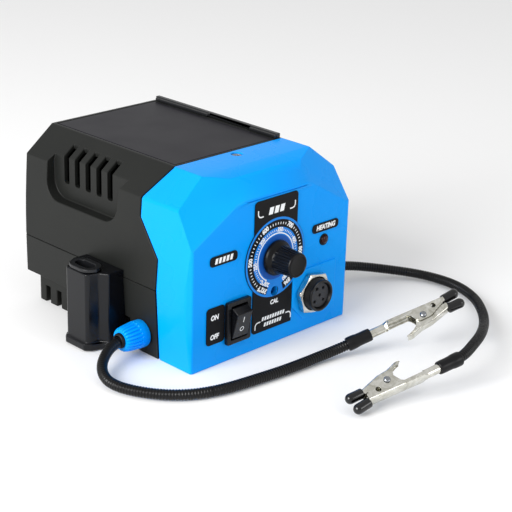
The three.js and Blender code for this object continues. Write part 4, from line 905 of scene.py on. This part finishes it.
# A real winding has a pitch just over a millimetre; this is drawn at its true size.
RING_PITCH = 1.35
ARM_ROUTES = {
    "left": dict(
        points=[(-50, 19.2, 10.3), (-60, 19.2, 10.3), (-67.5, 19.2, 10.3), (-77, 16.6, 6.8), (-84, 9.5, 3.9),
                (-86.8, -0.5, 2.9), (-83.7, -11.6, 2.85), (-77.2, -22.4, 2.85), (-67.1, -31.2, 2.85),
                (-54.6, -36.2, 2.85), (-37.6, -39, 2.85), (-19.1, -41.2, 2.85), (-3, -42.2, 3.1),
                (8.5, -43.6, 3.9)],
        tail=(30.4, -53.7, 11.8), tail_steps=(23, 18, 10.3), along=(0.823, -0.444, 0.353),
        across=(-0.306, -0.86, -0.408)),
    "right": dict(
        points=[(50, 19.2, 10.3), (60, 19.2, 10.3), (68, 19.2, 10.3), (86, 15.6, 8), (105.6, 2, 4.6),
                (116, -12, 3.1), (118, -30, 2.95), (112, -46, 3.2), (98.5, -61.5, 5), (81, -76, 8),
                (62.1, -87.8, 11.5), (45, -96, 14.4)],
        tail=(12.7, -97, 11.4), tail_steps=(17.5, 10.3), along=(-0.955, 0.23, -0.19),
        across=(0.114, 0.913, 0.391)),
}
FIRST_JOINT = 23.0
LAST_JOINT_BACK = 11.0
EASE_REACH = 7.0
EASE_STEPS = 6


def smooth_path(points, per_span=24):
    """Points along a centripetal curve through the given ones, in millimetres."""
    ends = [points[0] * 2 - points[1], *points, points[-1] * 2 - points[-2]]
    path = []
    for a, b, c, d in zip(ends, ends[1:], ends[2:], ends[3:]):
        t1 = math.sqrt((b - a).length)
        t2 = t1 + math.sqrt((c - b).length)
        t3 = t2 + math.sqrt((d - c).length)
        for i in range(per_span):
            t = t1 + (t2 - t1) * i / per_span
            ab = a + (b - a) * (t / t1)
            bc = b + (c - b) * ((t - t1) / (t2 - t1))
            cd = c + (d - c) * ((t - t2) / (t3 - t2))
            abc = ab + (bc - ab) * (t / t2)
            bcd = bc + (cd - bc) * ((t - t1) / (t3 - t1))
            path.append(abc + (bcd - abc) * ((t - t1) / (t2 - t1)))
    return path + [points[-1]]


neck_tree, given = new_tree("ringed_neck", {
    "Path": "Geometry", "Crest Radius": "Float", "Groove Depth": "Float", "Pitch": "Float",
    "Start Along Arm": "Float", "Smooth Until": "Float", "Sides": "Int", "Skin": "Material"})
sixth = calc(neck_tree, "DIVIDE", given["Pitch"], 6.0)
fine = add(neck_tree, "GeometryNodeResampleCurve", {"Curve": given["Path"], "Length": sixth}, mode="LENGTH")
run = add(neck_tree, "GeometryNodeSplineParameter").outputs["Length"]
along_arm = calc(neck_tree, "ADD", run, given["Start Along Arm"])
phase = calc(neck_tree, "MULTIPLY", calc(neck_tree, "DIVIDE", along_arm, given["Pitch"]), 2 * math.pi)
dip = add(neck_tree, "ShaderNodeMapRange", {
    "Value": calc(neck_tree, "COSINE", phase), "From Min": -1.0, "From Max": 0.6,
    "To Min": 1.0, "To Max": 0.0})
shown = add(neck_tree, "ShaderNodeMapRange", {
    "Value": along_arm, "From Min": 0.0, "From Max": given["Smooth Until"], "To Min": 0.12, "To Max": 1.0})
depth = calc(neck_tree, "MULTIPLY", dip.outputs[0], shown.outputs[0])
groove = calc(neck_tree, "MULTIPLY", depth, given["Groove Depth"])
size = calc(neck_tree, "SUBTRACT", given["Crest Radius"], groove)
circle = add(neck_tree, "GeometryNodeCurvePrimitiveCircle", {"Resolution": given["Sides"], "Radius": 1.0})
swept = add(neck_tree, "GeometryNodeCurveToMesh", {
    "Curve": fine.outputs[0], "Profile Curve": circle.outputs[0], "Scale": size, "Fill Caps": True})
smoothed = add(neck_tree, "GeometryNodeSetShadeSmooth", {0: swept.outputs[0]})
end_tree(neck_tree, smoothed.outputs[0], given["Skin"])

# Soft PVC: jet black, glossy on the crests.
neck_pvc = moulded("glossy_black_pvc", "#040405", "#080809", 0.28, 0.7, 0.015, gloss=0.26)


def path_object(name, points):
    """A poly curve through the points, which are in millimetres."""
    curve = bpy.data.curves.new(name, "CURVE")
    curve.dimensions = "3D"
    spline = curve.splines.new("POLY")
    spline.points.add(len(points) - 1)
    for point, at in zip(spline.points, points):
        point.co = (*(at * MM), 1)
    return bpy.data.objects.new(name, curve)


arm_frames = {}
for side, route in ARM_ROUTES.items():
    along = Vector(route["along"]).normalized()
    pin = along.cross(Vector(route["across"])).normalized()
    across = pin.cross(along)
    tail = Vector(route["tail"])
    arm_frames[side] = Matrix((along, across, pin)).transposed().to_4x4()
    arm_frames[side].translation = tail
    points = [Vector(p) for p in route["points"]] + [tail - along * step for step in route["tail_steps"]]
    path = smooth_path(points)
    runs = [0.0]
    for a, b in zip(path, path[1:]):
        runs.append(runs[-1] + (b - a).length)
    # The joints divide the free neck into equal links; the pieces meet half way between them.
    last = runs[-1] - LAST_JOINT_BACK
    joints_at = [FIRST_JOINT + (last - FIRST_JOINT) * i / 3 for i in range(4)]
    meets = [0.0] + [(a + b) / 2 for a, b in zip(joints_at, joints_at[1:])] + [runs[-1]]

    def on_path(distance):
        """The point at a distance along this arm's drawn path."""
        for i in range(len(runs) - 1):
            if runs[i + 1] >= distance:
                share = (distance - runs[i]) / (runs[i + 1] - runs[i])
                return path[i].lerp(path[i + 1], min(max(share, 0), 1))
        return path[-1]

    def at_run(distance):
        """The same with the path's tight turns eased, as a wound neck can't be folded."""
        reach = min(EASE_REACH, distance, runs[-1] - distance)
        near = [on_path(distance + reach * k / EASE_STEPS) for k in range(-EASE_STEPS, EASE_STEPS + 1)]
        return sum(near, Vector()) / len(near)

    for i, joint_at in enumerate(joints_at):
        start, end = meets[i], meets[i + 1]
        steps = max(8, round((end - start) / 1.5))
        name = f"{side}_neck_length_{i + 1}"
        route_points = [at_run(start + (end - start) * k / steps) for k in range(steps + 1)]
        piece = grown(name, neck_tree, {
            "Crest Radius": NECK_CREST * MM, "Groove Depth": NECK_GROOVE * MM, "Pitch": RING_PITCH * MM,
            "Start Along Arm": start * MM, "Smooth Until": SMOOTH_RUN * MM, "Sides": NECK_SIDES,
            "Skin": neck_pvc},
            path_object(name + "_path", route_points))
        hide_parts(f"{side}_neck_{i + 1}", *([f"{side}_neck_5"] if i == 3 else []))
        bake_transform(piece)

# ---------------------------------------------------------------- sleeves and clips
# A shrunk tube grips the neck and the clip's rolled tail. The clip is a nickel-plated steel
# crocodile clip: a long fixed jaw, a short sprung jaw with a curled thumb lever, a riveted pin
# and a coil spring. Both jaws are dipped in glossy black vinyl.

# Heat-shrink: matt black with a soft ripple.
shrink = moulded("matt_heat_shrink", "#060608", "#0B0B0D", 0.36, 1.2, 0.05, gloss=0.25)
# Dipped vinyl: jet black and wet-looking.
dip_vinyl = moulded("glossy_dipped_vinyl", "#070708", "#0D0D0E", 0.16, 2.0, 0.02)
SHEET = 0.5
PIVOT = (20.5, 4.1)
WINDOW = (26.8, 1.7)
WINDOW_RADIUS = 1.35
PIN_HALF = 3.3
TIP_RADIUS = 2.38
TIP_LENGTH = 6.1


CORNER = 0.7
ROLLED_ARC = 336
SHEARED_EDGE = 0.1


def section(back, edge, half, roll):
    """One section of a folded sheet, from one edge round the back to the other, as (across, up) pairs. roll
    bends it from a square channel, at 0, to a rolled tube, at 1."""
    rise = edge - back
    corner = min(CORNER, abs(rise) * 0.45, half * 0.6)
    sign = 1 if rise >= 0 else -1
    square = [(-half, edge - rise * share) for share in (0, 0.33, 0.66)] + [(-half, back + sign * corner)]
    for a in (30, 60, 90):
        turn = math.radians(a)
        square.append((-half + corner * (1 - math.cos(turn)), back + sign * corner * (1 - math.sin(turn))))
    square += [(0.0, back)] + [(-p, q) for p, q in reversed(square)]
    line = []
    for k, (across, up) in enumerate(square):
        angle = math.radians(ROLLED_ARC * (k / (len(square) - 1) - 0.5))
        round_across, round_up = half * math.sin(angle), back + sign * half * (1 - math.cos(angle))
        line.append((across + (round_across - across) * roll, up + (round_up - up) * roll))
    return line


def channel(name, stations, place, material):
    """A folded sheet channel. A station is (x, back y, edge y, half width, roll), for the sheet's middle."""
    form = bmesh.new()
    rows = [[form.verts.new((x, up, across)) for across, up in section(*rest)] for x, *rest in stations]
    for low, high in zip(rows, rows[1:]):
        for k in range(len(low) - 1):
            form.faces.new((low[k], low[k + 1], high[k + 1], high[k])).smooth = True
    made = mesh_from(form, name, material)
    made.data.transform(Matrix.Scale(MM, 4) @ place)
    wall = made.modifiers.new("sheet", "SOLIDIFY")
    wall.thickness = SHEET * MM
    wall.offset = 0
    round_over = made.modifiers.new("sheared_edges", "BEVEL")
    round_over.width = SHEARED_EDGE * MM
    round_over.segments = 2
    round_over.angle_limit = math.radians(50)
    round_over.harden_normals = True
    return made


def jaw_stations(start, end, count, rule):
    """Evenly spaced stations, each worked out by rule from its x."""
    return [(x, *rule(x)) for x in (start + (end - start) * i / (count - 1) for i in range(count))]


def between(x, table):
    """Straight-line interpolation in a table of (x, value)."""
    for (x0, v0), (x1, v1) in zip(table, table[1:]):
        if x <= x1:
            return v0 + (v1 - v0) * max(0, (x - x0) / (x1 - x0))
    return table[-1][1]


JAW_END = 33
TEETH_START = 26
TOOTH_PITCH = 1.2
TOOTH_DEPTH = 0.45


def tooth(x):
    """How far the toothed edge stands out at x."""
    if x <= TEETH_START:
        return 0
    return TOOTH_DEPTH * (abs((x / TOOTH_PITCH) % 1 - 0.5) * 2 - 0.5)


def fixed_rule(x):
    """The fixed jaw: a rolled tail, then a straight back with tall cheeks round the pin, and teeth."""
    back = between(x, [(-10, -1.85), (2.4, -1.85), (3.6, -1.55), (JAW_END, -0.75)])
    edge = between(x, [(-10, 1.85), (2.2, 1.85), (3.6, 0.45), (13.9, 0.45), (15.1, 1.4), (16.9, 5.6),
                       (18.1, 6.3), (22.9, 6.3), (24.5, 5.9), (27, 4.5), (JAW_END, 1.7)])
    half = between(x, [(-10, 1.85), (2.2, 1.85), (4.4, 2.72), (JAW_END, 2.72)])
    roll = between(x, [(-10, 1.0), (1.8, 1.0), (3.8, 0.0), (JAW_END, 0.0)])
    return back, edge + tooth(x), half, roll


def moving_rule(x):
    """The sprung jaw: a curled thumb lever behind, cheeks round the pin, and teeth in front."""
    back = between(x, [(9, 10.75), (10.2, 10.95), (11.2, 10.8), (14, 9.95), (17, 9.05), (22.5, 8.45),
                       (JAW_END, 5.35)])
    edge = between(x, [(9, 10.3), (11, 9.9), (13, 9.0), (14.9, 7.6), (17, 3.4), (18, 2.45), (20.5, 1.75),
                       (23, 2.45), (24.5, 3.2), (JAW_END, 2.85)])
    half = between(x, [(9, 1.5), (11.5, 1.95), (JAW_END, 1.95)])
    return back, edge - tooth(x), half, 0.0


def windowed(piece, place, at, radius):
    """Punches one hole through both cheeks of a channel, then keeps the result as a plain mesh."""
    punch = turned_form("window_punch", [(0, -5), (radius, -5), (radius, 5), (0, 5)],
                        place @ Vector((*at, 0)), place.to_3x3() @ Vector((0, 0, 1)), nickel, 10)
    cut = piece.modifiers.new("window", "BOOLEAN")
    cut.operation = "DIFFERENCE"
    cut.object = punch
    piece.modifiers.move(len(piece.modifiers) - 1, 1)
    bpy.context.view_layer.update()
    mesh = bpy.data.meshes.new_from_object(piece.evaluated_get(bpy.context.evaluated_depsgraph_get()))
    piece.modifiers.clear()
    piece.data = mesh
    bpy.data.objects.remove(punch)


for side in ARM_ROUTES:
    place = arm_frames[side]
    pin_axis = place.to_3x3() @ Vector((0, 0, 1))
    tail_axis = place.to_3x3() @ Vector((1, 0, 0))
    hand, jaw = side + "_hand", side + "_jaw"

    tube = turned_form(side + "_shrink_sleeve", [
        (2.62, -16.9), (2.9, -17.0), (3.2, -16.8), (3.34, -16.0), (3.3, -13.6), (3.22, -12.6), (3.08, -11.9),
        (3.02, -9.6), (3.05, -7.5), (3.0, -5.8), (2.9, -5.2), (2.7, -5.02), (2.3, -5.1), (2.3, -10.0),
        (2.62, -10.6)],
        place.translation, tail_axis, shrink, 48)
    fit(tube, "vinyl", hand, side + "_sleeve")

    fixed = channel(side + "_toothed_fixed_jaw", jaw_stations(-9.9, JAW_END, 150, fixed_rule), place, nickel)
    windowed(fixed, place, WINDOW, WINDOW_RADIUS)
    fit(fixed, "nickel", hand, side + "_fixed_jaw")
    moving = channel(side + "_toothed_moving_jaw", jaw_stations(9.0, JAW_END, 96, moving_rule), place, nickel)
    fit(moving, "nickel", jaw, side + "_moving_jaw")

    pin_centre = place @ Vector((*PIVOT, 0))
    head = [(0.88, PIN_HALF - 0.05), (1.5, PIN_HALF - 0.05), (1.55, PIN_HALF + 0.1), (1.35, PIN_HALF + 0.45),
            (0.8, PIN_HALF + 0.7), (0, PIN_HALF + 0.75)]
    rivet = turned_form(side + "_rivet_pin", [(radius, -height) for radius, height in reversed(head)] + head,
                        pin_centre, pin_axis, zinc, 32)
    fit(rivet, "steel", hand, side + "_clip_pin")

    for tip, body, centre_y, tilt in (("fixed_tip", hand, -0.5, -7.0), ("moving_tip", jaw, 4.9, 0.0)):
        lean = math.radians(tilt)
        start = place @ Vector((JAW_END - 0.3, centre_y, 0))
        axis = place.to_3x3() @ Vector((math.cos(lean), math.sin(lean), 0))
        dome = [(TIP_RADIUS * math.cos(math.radians(a)), TIP_LENGTH + TIP_RADIUS * math.sin(math.radians(a)))
                for a in range(0, 90, 12)]
        cover_profile = [(0, 0.35), (1.7, 0.3), (2.1, 0.0), (2.3, 0.15), (TIP_RADIUS, 0.7),
                         (TIP_RADIUS - 0.06, 3.0), *dome, (0, TIP_LENGTH + TIP_RADIUS)]
        cover = turned_form(f"{side}_dipped_{tip}", cover_profile, start, axis, dip_vinyl, 40)
        fit(cover, "vinyl", body, f"{side}_{tip}")

# The spring's coil, wound round the pin between the cheeks.
coil_tree, given = new_tree("wound_spring", {
    "Turns": "Float", "Coil Radius": "Float", "Length": "Float", "Wire Radius": "Float", "Turn": "Rotation",
    "Centre": "Vector", "Wire": "Material"})
spiral = add(coil_tree, "GeometryNodeCurveSpiral", {
    "Resolution": 20, "Rotations": given["Turns"], "Start Radius": given["Coil Radius"],
    "End Radius": given["Coil Radius"], "Height": given["Length"]})
wire = add(coil_tree, "GeometryNodeCurvePrimitiveCircle", {"Resolution": 10, "Radius": given["Wire Radius"]})
wound = add(coil_tree, "GeometryNodeCurveToMesh", {
    "Curve": spiral.outputs[0], "Profile Curve": wire.outputs[0], "Fill Caps": True})
drop = add(coil_tree, "ShaderNodeCombineXYZ", {"Z": calc(coil_tree, "MULTIPLY", given["Length"], -0.5)})
middled = add(coil_tree, "GeometryNodeTransform", {
    "Geometry": wound.outputs[0], "Translation": drop.outputs[0]})
set_in = add(coil_tree, "GeometryNodeTransform", {
    "Geometry": middled.outputs[0], "Rotation": given["Turn"], "Translation": given["Centre"]})
soft = add(coil_tree, "GeometryNodeSetShadeSmooth", {0: set_in.outputs[0]})
end_tree(coil_tree, soft.outputs[0], given["Wire"])

for side, place in arm_frames.items():
    coil = grown(side + "_spring_coil", coil_tree, {
        "Turns": 4.0, "Coil Radius": 1.55 * MM, "Length": 2.0 * MM, "Wire Radius": 0.24 * MM,
        "Turn": place.to_3x3().to_euler(), "Centre": place @ Vector((*PIVOT, 0)) * MM, "Wire": zinc})
    fit(coil, "steel", side + "_hand", side + "_clip_spring")

low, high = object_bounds()
